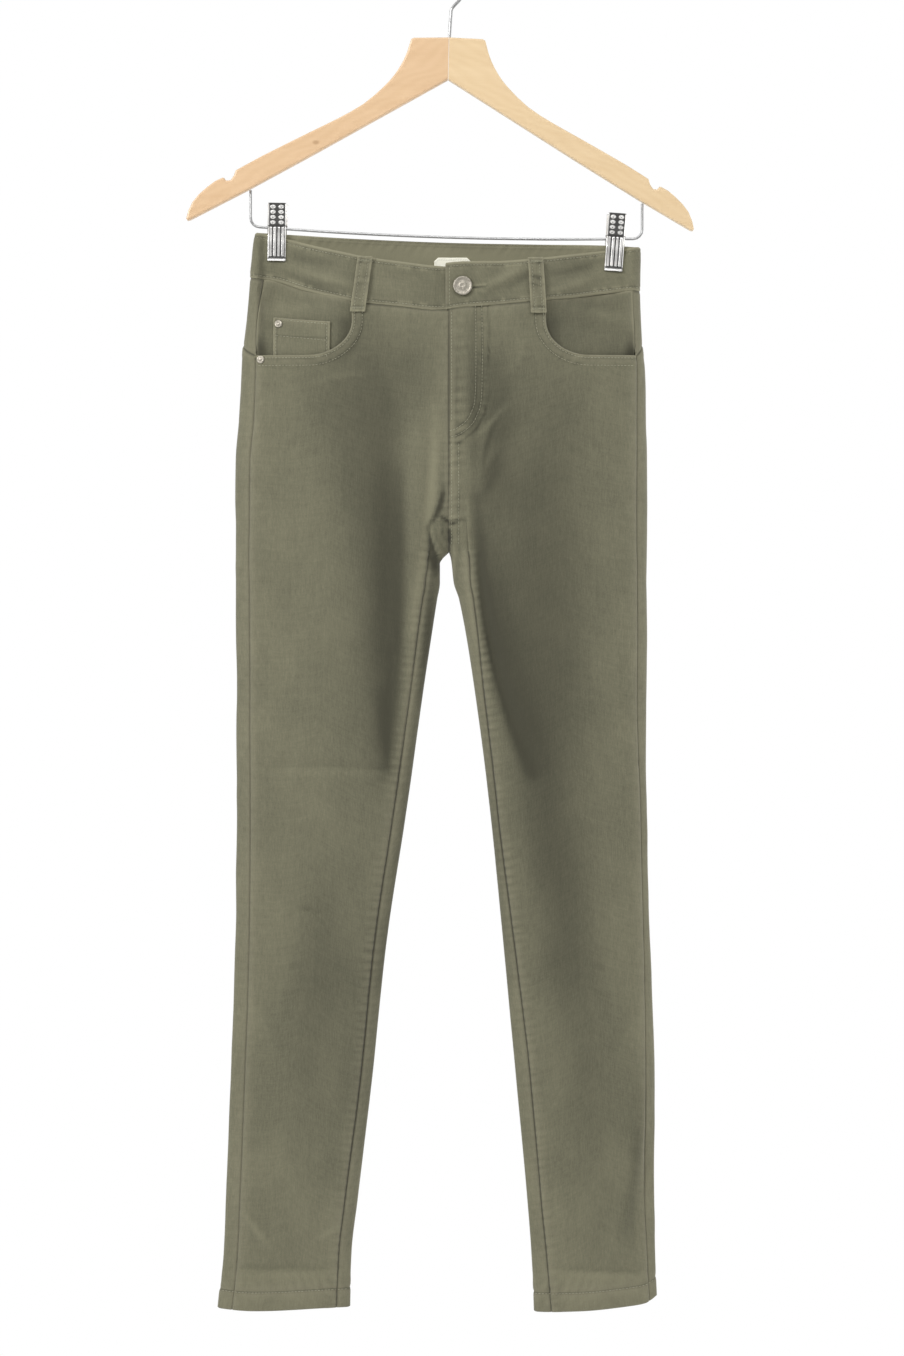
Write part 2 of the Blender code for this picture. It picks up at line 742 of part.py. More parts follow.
def label(look):
    """The bare label inside the back of the waistband."""
    over = BAND_LIFT - BAND_CLOTH - BAND_GAP - LABEL_CLOTH
    patch("label", look, 4, 4, box_place(LABEL), back=True, over=over, thickness=LABEL_CLOTH)


def turned(name, look, profile, sides=20):
    """A solid of revolution about +Z from (radius, height) pairs, bottom to top."""
    mesh = bmesh.new()
    spine = [mesh.verts.new((r * MM, 0, z * MM)) for r, z in profile]
    edges = [mesh.edges.new(pair) for pair in zip(spine, spine[1:])]
    bmesh.ops.spin(
        mesh, geom=spine + edges, axis=(0, 0, 1), cent=(0, 0, 0), angle=2 * math.pi,
        steps=sides, use_merge=True,
    )
    bmesh.ops.remove_doubles(mesh, verts=mesh.verts, dist=1e-6)
    bmesh.ops.recalc_face_normals(mesh, faces=mesh.faces)
    data = bpy.data.meshes.new(name)
    mesh.to_mesh(data)
    mesh.free()
    return add(name, data, look)


def stand_on_front(piece, x, drop, over):
    """Puts a turned piece on the front, its +Z along the cloth's normal."""
    point, normal = face_skin(x * MM, drop * MM)
    point, normal = Vector(point), Vector(normal)
    turn = Vector((0, 0, 1)).rotation_difference(normal).to_matrix().to_4x4()
    piece.matrix_world = Matrix.Translation(point + normal * over) @ turn


def button(look):
    profile = ((0, 0), (5.2, 0), (8.0, 0.9), (8.3, 1.7), (7.9, 2.5), (7.2, 2.7), (6.3, 2.2),
               (3.4, 2.0), (2.9, 2.5), (1.8, 2.8), (0, 2.9))
    made = turned("button", look, profile, 28)
    stand_on_front(made, *BUTTON_AT, BAND_LIFT + TAB_LIFT + SEAT)


def rivet(name, look, x, drop, over):
    profile = ((0, 0), (3.2, 0), (3.4, 0.4), (2.9, 1.0), (1.8, 1.3), (1.4, 1.1), (0, 1.15))
    stand_on_front(turned(f"rivet_{name}", look, profile, 14), x, drop, over)


# The hanger: one arm across and down from the crown's top centre. Both arms lean with the
# hanger's tilt, and each has its own reach as the hanger hangs slightly turned.
CROWN_DROP = 68
HANGER_TILT = math.radians(1.19)
BOARD = 12
ARM_REACH = {LEFT: 1.02, RIGHT: 0.98}
CROWN = ((30.0, 0.9), (32.4, 2.2), (33.2, 4.6))
ARM_TOP = ((35.4, 12.5), (38.6, 20.6), (45, 32), (54.3, 43.4), (72.3, 59.8), (95, 73.5),
           (117.5, 85.3), (158.6, 107.3), (180.7, 120.3))
NOTCH = ((182.2, 125.0), (185, 129), (188.6, 129.3), (190.6, 126.9))
ARM_END = ((191.9, 126.8), (198.5, 130.2), (205, 135.4), (212, 142), (217.2, 148.7),
           (220.6, 156.5), (222.2, 163.2), (221.3, 164.6), (218.6, 164.0))
UNDERSIDE = ((171.8, 138.2), (115, 105.2), (0, 36.8))
GLUE_LINE = 0.15  # from the centre to each half
BOARD_ROUND = 2.2  # how far in its long edges are rounded


def through(points, cells):
    """Even points on a smooth curve through the ones given."""
    points = np.array(points, float)
    ends = np.vstack([2 * points[0] - points[1], points, 2 * points[-1] - points[-2]])
    found = []
    for a, b, c, d in zip(ends, ends[1:], ends[2:], ends[3:]):
        for t in np.arange(cells) / cells:
            found.append(
                0.5 * (2 * b + (c - a) * t + (2 * a - 5 * b + 4 * c - d) * t**2
                       + (3 * b - a - 3 * c + d) * t**3)
            )
    return found + [points[-1]]


def on_hanger(side, across, down):
    """A place on the hanger, in metres, from its millimetres across and below the crown."""
    x, z = side * across * ARM_REACH[side], -down
    turned_x = x * math.cos(HANGER_TILT) + z * math.sin(HANGER_TILT)
    turned_z = z * math.cos(HANGER_TILT) - x * math.sin(HANGER_TILT)
    return turned_x * MM, 0.0, (turned_z - CROWN_DROP) * MM


def hanger_arm(side, name, look):
    outline = [(GLUE_LINE, 0), *CROWN, *through(ARM_TOP, 2), *NOTCH, *ARM_END, *UNDERSIDE[:-1]]
    outline.append((GLUE_LINE, UNDERSIDE[-1][1]))
    mesh = bmesh.new()
    corners = [mesh.verts.new(on_hanger(side, *place)) for place in outline]
    for corner in corners:
        corner.co.y = -BOARD / 2 * MM
    board = mesh.faces.new(corners)
    rear = bmesh.ops.extrude_face_region(mesh, geom=[board])
    moved = [item for item in rear["geom"] if isinstance(item, bmesh.types.BMVert)]
    bmesh.ops.translate(mesh, verts=moved, vec=(0, BOARD * MM, 0))
    bmesh.ops.recalc_face_normals(mesh, faces=mesh.faces)
    glued = {v for v in mesh.verts if abs(v.co.x) < 4 * MM}
    rims = [e for e in mesh.edges if abs(e.verts[0].co.y - e.verts[1].co.y) < MM
            and not glued.issuperset(e.verts)]
    bmesh.ops.bevel(mesh, geom=rims, offset=BOARD_ROUND * MM, segments=2, profile=0.5,
                    affect="EDGES", clamp_overlap=True)
    bmesh.ops.recalc_face_normals(mesh, faces=mesh.faces)
    data = bpy.data.meshes.new(name)
    mesh.to_mesh(data)
    mesh.free()
    return add(f"hanger_{name}", data, look)


def underside_drop(side, x):
    """The drop of the hanger's underside above a place on the clip bar."""
    ends = [on_hanger(side, *place) for place in (ARM_END[-1], *UNDERSIDE)]
    xs, drops = [abs(p[0]) for p in ends][::-1], [-p[2] for p in ends][::-1]
    return float(np.interp(abs(x), xs, drops))


def wire(name, look, points, radius):
    """A round wire along a run of points (x, drop) in millimetres."""
    curve = bpy.data.curves.new(name, "CURVE")
    curve.dimensions = "3D"
    curve.bevel_depth = radius * MM
    curve.bevel_resolution = 2
    curve.use_fill_caps = True
    spline = curve.splines.new("POLY")
    spline.points.add(len(points) - 1)
    for knot, (x, drop) in zip(spline.points, points):
        knot.co = (x * MM, 0, -drop * MM, 1)
    spline.use_smooth = True
    curve.materials.append(look)
    made = bpy.data.objects.new(name, curve)
    bpy.context.collection.objects.link(made)
    return made


HOOK_WIRE = 1.35
HOOK_RADIUS = 17
HOOK_STEM = ((0.3, 67.4), (0.9, 58), (1.6, 48), (2.6, 42), (8.8, 35.2), (14.2, 27.6))
HOOK_SWEEP = (-22, 212)


def hook(look):
    """A question-mark hook: the rail touches the inside of its top at the origin."""
    centre = HOOK_RADIUS - HOOK_WIRE
    bend = []
    for angle in np.radians(np.linspace(*HOOK_SWEEP, 9)):
        bend.append((HOOK_RADIUS * math.cos(angle), centre - HOOK_RADIUS * math.sin(angle)))
    wire("hook", look, through((*HOOK_STEM, *bend), 2), HOOK_WIRE)


BAR_WIRE = 1.15
BAR_LEFT, BAR_RIGHT = (-173.8, 233), (169.2, 243.8)
BAR_BEND = 8
BAR_SAG = 4.2


def bar_drop(x):
    """The bar's drop along its length: it tilts with the hanger and sags a little."""
    t = (x - BAR_LEFT[0]) / (BAR_RIGHT[0] - BAR_LEFT[0])
    return BAR_LEFT[1] + (BAR_RIGHT[1] - BAR_LEFT[1]) * t + BAR_SAG * 4 * t * (1 - t)


def clip_bar(look):
    """A bent wire: down from one arm, along under the hanger and up to the other arm."""
    (left, _), (right, _) = BAR_LEFT, BAR_RIGHT
    gap = 0.4 + BAR_WIRE * 0.65  # clear of the arm's slope on its high side too
    run = [(left, underside_drop(LEFT, left * MM) / MM + gap), (left, BAR_LEFT[1] - BAR_BEND)]
    for x_edge, way in ((left, 1), (right, -1)):
        centre_x = x_edge + way * BAR_BEND
        corner = []
        for angle in np.radians((22.5, 45, 67.5, 90)):
            x = centre_x - way * BAR_BEND * math.cos(angle)
            corner.append((x, bar_drop(centre_x) - BAR_BEND * (1 - math.sin(angle))))
        if way > 0:
            run += corner
            run += [(x, bar_drop(x)) for x in np.linspace(left, right, 13)[1:-1]]
        else:
            run += corner[::-1]
    run += [(right, bar_drop(right - BAR_BEND) - BAR_BEND),
            (right, underside_drop(RIGHT, right * MM) / MM + gap)]
    wire("clip_bar", look, run, BAR_WIRE)


# A clip's jaw in section: how far down it from its top, and how far out its inner face is.
JAW = ((0, 8.6), (6, 7.4), (12, 5.9), (17, 4.2), (21, 3.35), (26, 3.3), (32, 3.3), (40, 3.1),
       (45, 2.98), (48.5, 2.98), (50.2, 3.5))
JAW_STEEL = 1.0
JAW_WIDTH = {"front": 15.7, "back": 17.8}
JAW_EDGE, JAW_TURN = 1.2, 0.7  # how wide its long edges are, and how far they turn in
JAW_GRIP = 30  # where the turned edges end
CLIP_LENGTH = 50
SPRING = ((1.5, -5.5), (2.85, -5.5), (2.85, 5.5), (1.5, 5.5), (1.5, -5.5))
SPRING_DOWN = 22


def on_clip(clip, across, out, down):
    """A place on a clip, from its own millimetres, leaning with the clip."""
    lean = clip.lean
    up = CLIP_LENGTH - down
    x = across * math.cos(lean) + up * math.sin(lean) * clip.side
    z = -clip.bottom / MM + up * math.cos(lean) - across * math.sin(lean) * clip.side
    return (clip.side * clip.across / MM + x) * MM, out * MM, z * MM


def jaw(clip, face, look):
    """One pressed steel jaw: a bent plate with its long edges turned in a little."""
    facing_way = -1 if face == "front" else 1
    half_width = JAW_WIDTH[face] / 2
    flat = half_width - JAW_EDGE
    stations = (-half_width, -flat, 0, flat, half_width)
    points, normals = [], []
    for down, out in JAW:
        for across in stations:
            turn_in = JAW_TURN if abs(across) == half_width and down < JAW_GRIP else 0.0
            points.append(on_clip(clip, across, facing_way * (out + JAW_STEEL - turn_in), down))
            normals.append((0, facing_way, 0))
    count = len(stations)
    cells = []
    for i in range(len(JAW) - 1):
        for j in range(count - 1):
            a = i * count + j
            cell = [a, a + 1, a + count + 1, a + count]
            cells.append(cell if facing_way > 0 else cell[::-1])
    grid = np.array(points), np.array(normals, float)
    wall(f"clip_{clip.name}_{face}_jaw", look, grid, cells, 0.0, JAW_STEEL * MM, gap=0.0)


def spring(clip, look):
    """The rolled spring on the bar, between the jaws."""
    made = turned(f"clip_{clip.name}_spring", look, SPRING, 16)
    up = CLIP_LENGTH - SPRING_DOWN
    x = clip.side * (clip.across / MM + up * math.sin(clip.lean))
    slope = math.atan2(bar_drop(x + 5) - bar_drop(x - 5), 10)
    turn = Matrix.Rotation(slope, 4, "Y") @ Matrix.Rotation(math.pi / 2, 4, "Y")
    made.matrix_world = Matrix.Translation((x * MM, 0, -bar_drop(x) * MM)) @ turn


def main():
    for old in list(bpy.data.objects):
        bpy.data.objects.remove(old, do_unlink=True)
    look = looks()
    for side, name in ((LEFT, "left"), (RIGHT, "right")):
        panels(side, name, look["twill"])
        facing(side, name, look["twill"])
        back_pocket(side, name, look["twill"])
        hanger_arm(side, name, look["wood"])
    waistband(look["twill"])
    fly_placket(look["twill"])
    coin_pocket(look["twill"])
    for loop in LOOPS:
        belt_loop(loop, look["twill"])
    label(look["label"])
    button(look["pewter"])
    for name, x, drop, over in RIVETS:
        rivet(name, look["pewter"], x, drop, over)
    hook(look["steel"])
    clip_bar(look["steel"])
    for clip in CLIPS:
        jaw(clip, "front", look["steel"])
        jaw(clip, "back", look["steel"])
        spring(clip, look["steel"])


main()
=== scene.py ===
"""Skinny jeans hung by two clips from a wooden hanger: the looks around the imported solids.

Metres, +Z up. The hanger's hook rests on its rail at the origin, +X is to the right as the
front is seen, and the front faces -Y. The tables are in millimetres: a drop is a depth below
the rail, and a distance across is measured from the centre seam, on either side.
"""

import copy
import json
import math
from collections import namedtuple

import bmesh
import bpy
import numpy as np
from bpy.props import FloatProperty, FloatVectorProperty, PointerProperty
from mathutils import Matrix, Vector
from mathutils.bvhtree import BVHTree

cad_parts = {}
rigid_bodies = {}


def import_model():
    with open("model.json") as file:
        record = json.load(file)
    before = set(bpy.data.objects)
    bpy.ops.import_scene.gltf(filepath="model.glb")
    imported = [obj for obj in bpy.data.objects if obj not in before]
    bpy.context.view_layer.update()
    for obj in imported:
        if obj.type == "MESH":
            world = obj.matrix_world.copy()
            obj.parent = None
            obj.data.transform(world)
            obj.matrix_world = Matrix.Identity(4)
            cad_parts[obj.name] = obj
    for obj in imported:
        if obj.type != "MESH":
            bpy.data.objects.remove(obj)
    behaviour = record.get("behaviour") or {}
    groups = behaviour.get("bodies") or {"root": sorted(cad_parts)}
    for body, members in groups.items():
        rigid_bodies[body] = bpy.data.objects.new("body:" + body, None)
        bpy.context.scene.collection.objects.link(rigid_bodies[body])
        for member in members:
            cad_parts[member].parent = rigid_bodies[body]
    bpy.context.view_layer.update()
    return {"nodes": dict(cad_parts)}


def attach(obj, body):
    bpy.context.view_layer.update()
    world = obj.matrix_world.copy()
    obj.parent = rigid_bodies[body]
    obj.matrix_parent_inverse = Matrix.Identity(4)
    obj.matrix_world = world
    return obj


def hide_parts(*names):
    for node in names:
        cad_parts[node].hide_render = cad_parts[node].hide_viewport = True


bl_info = {
    "name": "Hung Jeans",
    "version": (1, 0, 0),
    "blender": (4, 5, 0),
    "location": "3D View > Sidebar > Jeans",
    "description": "Builds olive jeans that hang from a wooden clip hanger",
    "category": "Add Mesh",
}

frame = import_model()

MM = 0.001
LEFT, RIGHT = -1, 1
SIDES = ((LEFT, "left"), (RIGHT, "right"))
ROUNDS = 4  # after these a place that depends on its own drop has settled


# --- Curves, tables and noise -------------------------------------------------------------


def smooth(knots, values, where):
    """The height at where of a curve through the points that never swings past them."""
    step = np.diff(knots)
    slope = np.diff(values) / step
    tangent = np.concatenate([slope[:1], np.zeros(len(slope) - 1), slope[-1:]])
    rising = slope[:-1] * slope[1:] > 0
    before, after = slope[:-1][rising], slope[1:][rising]
    tangent[1:-1][rising] = 2 * before * after / (before + after)
    where = np.clip(where, knots[0], knots[-1])
    i = np.clip(np.searchsorted(knots, where, side="right") - 1, 0, len(step) - 1)
    t = (where - knots[i]) / step[i]
    blend = t * t * (3 - 2 * t)
    swing = t * (1 - t) ** 2 * tangent[i] - t**2 * (1 - t) * tangent[i + 1]
    return values[i] + (values[i + 1] - values[i]) * blend + step[i] * swing


def ease(edge_0, edge_1, where):
    """0 before edge_0, 1 past edge_1, and a soft rise between them."""
    t = np.clip((where - edge_0) / (edge_1 - edge_0), 0, 1)
    return t * t * (3 - 2 * t)


def bump(where, centre, width):
    """1 at the centre, fading to 0 a width or two away."""
    return np.exp(-(((where - centre) / width) ** 2))


class Table:
    """Named columns of sizes in millimetres, joined by smooth curves over the first one."""

    def __init__(self, columns, *rows):
        self.columns = columns.split()
        self.rows = np.array(rows, float) * MM

    def at(self, column, where):
        return smooth(self.rows[:, 0], self.rows[:, self.columns.index(column)], where)


def noise(x, y, seed=0.0):
    """Smooth noise from -1 to 1 over a plane, the same on every run."""
    i, j = np.floor(x), np.floor(y)
    u, v = ease(0, 1, x - i), ease(0, 1, y - j)

    def corner(di, dj):
        mixed = np.sin((i + di) * 127.1 + (j + dj) * 311.7 + seed * 74.7) * 43758.5453
        return 2 * (mixed - np.floor(mixed)) - 1

    top = corner(0, 0) * (1 - u) + corner(1, 0) * u
    foot = corner(0, 1) * (1 - u) + corner(1, 1) * u
    return top * (1 - v) + foot * v


def ripple(along, period, seed=0.0):
    """An uneven wave along a seam, from about -1 to 1."""
    phase = along / period * 2 * np.pi + 1.7 * noise(along / (period * 2.3), seed, seed)
    return np.sin(phase) * (0.6 + 0.4 * noise(along / (period * 3.1), seed + 5, seed))


# --- The cloth's sizes --------------------------------------------------------------------


# How thick the cloth is, how far it stands out, and the gaps between pieces.
CLOTH = 1.5 * MM
HEM_CLOTH = 2.6 * MM
HEM_LIFT = 0.5 * MM
HEM_HEIGHT = 17 * MM
HEM_ROW = 1.6 * MM  # from the hem's upper edge down to its row of stitches
BAND_CLOTH = 2.4 * MM
BAND_LIFT = 0.4 * MM
POCKET_CLOTH = 1.2 * MM
SEAM_GAP = 0.34 * MM
LAY_GAP = 0.5 * MM
BAND_GAP = 0.3 * MM  # more than the seam's own gap, as the band bends in more places

# Both legs, down the garment. outer and inner are the folded edges as the front shows them.
# outseam and inseam are how far in from those edges the seams lie, both on the front; above
# the crotch the inseam column is the reach of the fly's stitching from the centre.
LEGS = {
    LEFT: Table(
        "drop outer inner outseam inseam",
        (239, 169.5, 0, 12, 28),
        (278, 174, 0, 12, 28),
        (320, 178, 0, 10, 28),
        (350, 182, 0, 13, 27),
        (403, 185, 0, 14, 24),
        (440, 187.5, 0, 13.5, 20),
        (491, 187.5, 0, 13, 16),
        (518, 187.5, 0, 12.5, 17),
        (523, 187.5, 5, 12.5, 13),
        (529, 187.5, 8, 12.5, 10.5),
        (545, 187, 8, 12.5, 12.5),
        (560, 187, 10.5, 12.5, 12.5),
        (648, 186.5, 23.7, 12.3, 11),
        (753, 186, 38.5, 12.3, 11),
        (858, 187, 54.3, 12.3, 10.5),
        (981, 191, 67.5, 12.3, 10),
        (1086, 195, 80.3, 12.3, 11),
        (1130, 197, 85.3, 12.3, 11),
        (1181, 202, 87, 12.3, 11.5),
    ),
    RIGHT: Table(
        "drop outer inner outseam inseam",
        (239, 168, 0, 9, 28),
        (290, 167.5, 0, 7, 28),
        (335, 168.5, 0, 6, 27),
        (360, 171, 0, 7, 26),
        (403, 172, 0, 8, 24),
        (440, 173, 0, 9, 20),
        (491, 172.8, 0, 9, 15),
        (518, 172.5, 0, 8.5, 17),
        (523, 172.5, 1.4, 8.3, 16.5),
        (529, 172.5, 2.3, 8, 16),
        (545, 172.5, 4, 8, 15),
        (560, 172.5, 8.8, 8, 13),
        (648, 172.5, 23.7, 8, 7.5),
        (753, 173.8, 36.8, 5.7, 6.5),
        (858, 176.5, 47.3, 6, 9.5),
        (981, 179.3, 58.7, 7.5, 12.5),
        (1086, 180.5, 68.5, 9, 12),
        (1130, 181, 72, 7.5, 13),
        (1181, 182.2, 75, 6.5, 14.5),
    ),
}

# How deep the hung jeans are, forwards and backwards of the plane that the clips hang in.
DEPTHS = Table(
    "drop front back",
    (239, 14, 6),
    (265, 16, 7.5),
    (300, 18, 10),
    (350, 20, 15),
    (440, 21, 20),
    (518, 19, 20),
    (600, 17, 17.5),
    (780, 14, 14),
    (950, 12.5, 13),
    (1100, 11, 11.5),
    (1181, 10.5, 10.5),
)
FULLNESS = 0.8  # under 1 rounds a folded edge more bluntly than an ellipse
FOLD_FULL = 1.6  # how soon a fold reaches its full push, in from a folded edge
NORMAL_TURN = 0.03  # how far round, each way, a normal is measured over

# The waistband's two edges, across the garment: the underlap side, the overlap side, the back.
BAND_UNDER = Table(
    "x top seam",
    (-174, 239.3, 278.3),
    (-150.5, 243.5, 281),
    (-125, 250, 288.8),
    (-97, 256.7, 296),
    (-71, 262, 301.5),
    (-43, 265.8, 304.2),
    (-10, 269.6, 307.2),
    (-1, 270, 307.2),
    (1, 270, 304.8),
    (12, 270, 303.4),
    (30, 270, 302),
)
BAND_OVER = Table(
    "x top seam",
    (-3, 267.1, 307.2),
    (14, 265.9, 304.6),
    (41, 265.5, 302.6),
    (81, 262.6, 298.7),
    (107, 259, 295.9),
    (134, 255.4, 292),
    (161, 252.6, 289.4),
    (168, 252.2, 290.3),
)
BAND_BACK = Table(
    "x top seam",
    (-174, 239.3, 278.3),
    (-106, 243.2, 282.2),
    (6, 247.9, 286.9),
    (134, 250.5, 289.3),
    (168, 252.2, 290.3),
)
TAB_END = -2.2 * MM  # the overlap's free end, left of the centre
UNDERLAP_END = 27 * MM
TAB_LIFT = 1.7 * MM
UNDERLAP_SINK = 1.1 * MM

# The crotch is a curved rise from RISE_TOP to the apex, where the legs part.
RISE_TOP = 446 * MM
FRONT_CROTCH = 491 * MM
APEX = 518 * MM
LEG_TOP = 548 * MM
HEM = Table(
    "x drop",
    (-202, 1179.5),
    (-172, 1181.5),
    (-87, 1178.5),
    (75, 1182.5),
    (114, 1181.5),
    (159, 1177),
    (171, 1175),
    (183, 1168.5),
)

# The pocket mouth: down from the waistband, round a corner, then level to the side seam.
MOUTH_ACROSS = 84.5 * MM
MOUTH_DROP = 347 * MM
MOUTH_CORNER = 38 * MM
MOUTH_STRAIGHT = 0.375  # the share of its height before the corner starts
YOKE_SIDE, YOKE_CENTRE = 337 * MM, 354 * MM

# The cloth that shows in a pocket mouth, and the coin pocket on the left one.
FACING_UNDER, FACING_BELOW = 14 * MM, 24 * MM  # how far it runs on behind the panel
FACING_SIDE, FACING_TOP = 0.5 * MM, 0.6 * MM  # how far it stops short of the two seams
FACING_FACE = CLOTH + LAY_GAP + 0.1 * MM  # how far in its outer face lies
FACING_SINK = 1.7 * MM  # and how much further behind the coin pocket
COIN_FACE = CLOTH + 0.5 * MM
COIN_TOP = ((-153.5, 313), (-104.5, 317.5))
COIN_FOOT = 356

# A back pocket's corners: across and down at its top and at its foot, and its point.
BACK_POCKET_TOP = ((38, 386), (158, 374))
BACK_POCKET_FOOT = ((45, 498), (150, 490))
BACK_POCKET_POINT = 14
PLACKET = ((-7, 309.5), (31, 421.5))
LABEL = ((-12.7, 260.2), (18.9, 290.2))
LABEL_CLOTH = 1.0 * MM
LABEL_TRIM = 3.0  # how much of its height the cut corners take

# Small metal: where each is on the front, and how far in or out its base lies.
SEAT = 0.3 * MM
BUTTON_AT = (11.9, 286.7)
RIVETS = (
    ("left", -164.5, 350.5, SEAT),
    ("right", 159.5, 352, SEAT),
    ("coin", -149.3, 318.6, SEAT - COIN_FACE),
)

# What the clips hold: they press the waistband flat over their own width.
Clip = namedtuple("Clip", "side name across bottom lean")
CLIPS = (
    Clip(LEFT, "left", 151 * MM, 263.3 * MM, math.radians(-1)),
    Clip(RIGHT, "right", 143.8 * MM, 272.1 * MM, math.radians(4.2)),
)
PINCHED = 2.25 * MM  # from the middle to the outer face, under a clip
PINCH_FLAT = 10.5 * MM  # half the width that is pressed flat
PINCH_OUT, PINCH_IN = 8 * MM, 55 * MM  # how soon the cloth fills out again on either side
PINCH_DOWN = (8 * MM, 85 * MM)  # and where it does so below the clip

# The largest folds. push is outwards, and bow is how far the middle of the line bends to its
# left, seen along it.
Fold = namedtuple("Fold", "x_0 drop_0 x_1 drop_1 bow width push")
FRONT_FOLDS = (
    Fold(21, 470, 76, 712, -13, 8, -5.0),
    Fold(14, 520, 34, 640, -2, 7, 2.0),
    Fold(-50, 430, -60, 705, -3, 14, -3.5),
    Fold(-19, 330, -34, 570, 0, 10, 3.0),
    Fold(-160, 706, -42, 709, 2, 5, -1.6),
    Fold(-140, 830, -104, 833, 0, 5, -1.2),
    Fold(-190, 1144, -92, 1146, 0, 5, -1.6),
    Fold(-182, 1090, -154, 1128, 0, 6, 1.4),
    Fold(84, 1144, 180, 1147, 0, 5, -1.5),
    Fold(172, 975, 146, 1128, 4, 7, 2.2),
    Fold(178, 1000, 160, 1120, 3, 6, -1.6),
    Fold(30, 424, 62, 380, -3, 6, 1.8),
    Fold(40, 430, 74, 396, -3, 6, -1.4),
    Fold(-137, 262, -84, 287, -2, 5, 1.5),
    Fold(-140, 276, -92, 290, -2, 4, -1.1),
    Fold(134, 274, 84, 293, 2, 5, 1.4),
    Fold(28, 292, 70, 271, 1, 4, 1.3),
)
BACK_FOLDS = (
    Fold(-28, 500, -82, 660, -10, 10, -4.0),
    Fold(26, 505, 84, 690, 10, 10, -4.0),
    Fold(-150, 712, -52, 720, 3, 7, -2.2),
    Fold(58, 742, 150, 736, 3, 7, -2.2),
    Fold(-148, 548, -60, 572, -6, 9, -2.2),
    Fold(52, 566, 150, 540, 6, 9, -2.4),
    Fold(-170, 1120, -96, 1134, 2, 6, -1.5),
    Fold(88, 1130, 168, 1118, 2, 6, -1.6),
)


def fold_push(folds, x, drop):
    """How far the folds move the cloth out at a place."""
    push = np.zeros(np.broadcast(x, drop).shape)
    for fold in folds:
        along = np.array([fold.x_1 - fold.x_0, fold.drop_1 - fold.drop_0]) * MM
        length = math.hypot(*along)
        right, down = x - fold.x_0 * MM, drop - fold.drop_0 * MM
        t = (right * along[0] + down * along[1]) / length**2
        inside = np.clip(t, 0, 1)
        off = (right * along[1] - down * along[0]) / length
        off = off - 4 * fold.bow * MM * inside * (1 - inside)
        beyond = (t - inside) * length
        reach = np.hypot(off, beyond) / (fold.width * MM)
        push += fold.push * MM * np.exp(-(reach**2)) * np.sin(np.pi * (0.12 + 0.76 * inside))
    return push


def pinch(x, drop):
    """1 where a clip presses the cloth flat, fading to 0 away from it."""
    held = 0
    for clip in CLIPS:
        out = (x - clip.side * clip.across) * clip.side
        near = 1 - ease(PINCH_FLAT, PINCH_FLAT + PINCH_OUT, out)
        near = near * (1 - ease(PINCH_FLAT, PINCH_FLAT + PINCH_IN, -out))
        held = held + near * (1 - ease(*(clip.bottom + d for d in PINCH_DOWN), drop))
    return held


def rise(drop):
    """How far the centre seam stands out from the middle: 1 down to the rise, 0 at the apex."""
    return 1 - np.clip((drop - RISE_TOP) / (APEX - RISE_TOP), 0, 1) ** 2


def cloth(side, angle, drop):
    """The outer face of one half. The angle runs from the centre or inner edge over the front
    (pi/2), round the outer edge (pi), over the back and home (2 pi)."""
    leg = LEGS[side]
    inner, outer = leg.at("inner", drop), leg.at("outer", drop)
    x = side * (inner + (outer - inner) * (1 - np.cos(angle)) / 2)
    front = angle < np.pi
    curve = np.abs(np.sin(angle)) ** FULLNESS
    open_curve = rise(drop) + (1 - rise(drop)) * curve
    curve = np.where(np.cos(angle) > 0, open_curve, curve)
    half = curve * np.where(front, DEPTHS.at("front", drop), DEPTHS.at("back", drop))
    half = half + (np.minimum(half, PINCHED) - half) * pinch(x, drop)
    folds = np.where(front, fold_push(FRONT_FOLDS, x, drop), fold_push(BACK_FOLDS, x, drop))
    half = half + folds * np.clip(FOLD_FULL * curve, 0, 1) * (1 - pinch(x, drop))
    return np.stack(np.broadcast_arrays(x, np.where(front, -half, half), -drop), axis=-1)


def skin(side, angle, drop):
    """Points of the outer face, and the normals there."""
    before = cloth(side, np.maximum(angle - NORMAL_TURN, 0), drop)
    after = cloth(side, np.minimum(angle + NORMAL_TURN, 2 * np.pi), drop)
    above, below = cloth(side, angle, drop - MM), cloth(side, angle, drop + MM)
    normal = -side * np.cross(after - before, below - above)
    return cloth(side, angle, drop), normal / np.linalg.norm(normal, axis=-1, keepdims=True)


def angle_at(side, x, drop, back=False):
    """The angle round the leg of a place given by its distance to the right."""
    inner, outer = LEGS[side].at("inner", drop), LEGS[side].at("outer", drop)
    angle = np.arccos(np.clip(1 - 2 * (side * x - inner) / (outer - inner), -1, 1))
    return 2 * np.pi - angle if back else angle


def face_skin(x, drop, back=False):
    """Points and normals on the front or the back, at places given as the front is seen."""
    x, drop = np.broadcast_arrays(np.asarray(x, float), np.asarray(drop, float))
    sides = [skin(side, angle_at(side, x, drop, back), drop) for side in (LEFT, RIGHT)]
    pick = (x > 0)[..., None]
    return tuple(np.where(pick, right, left) for left, right in zip(*sides))


def waist_seam(side, x, back):
    """The drop of the seam under the waistband."""
    table = BAND_BACK if back else BAND_UNDER if side == LEFT else BAND_OVER
    return table.at("seam", x)


def yoke_drop(side, x):
    """The drop of the seam under the yoke."""
    share = np.abs(x) / LEGS[side].at("outer", YOKE_SIDE)
    return YOKE_CENTRE + (YOKE_SIDE - YOKE_CENTRE) * share


# --- Grids of cloth -----------------------------------------------------------------------

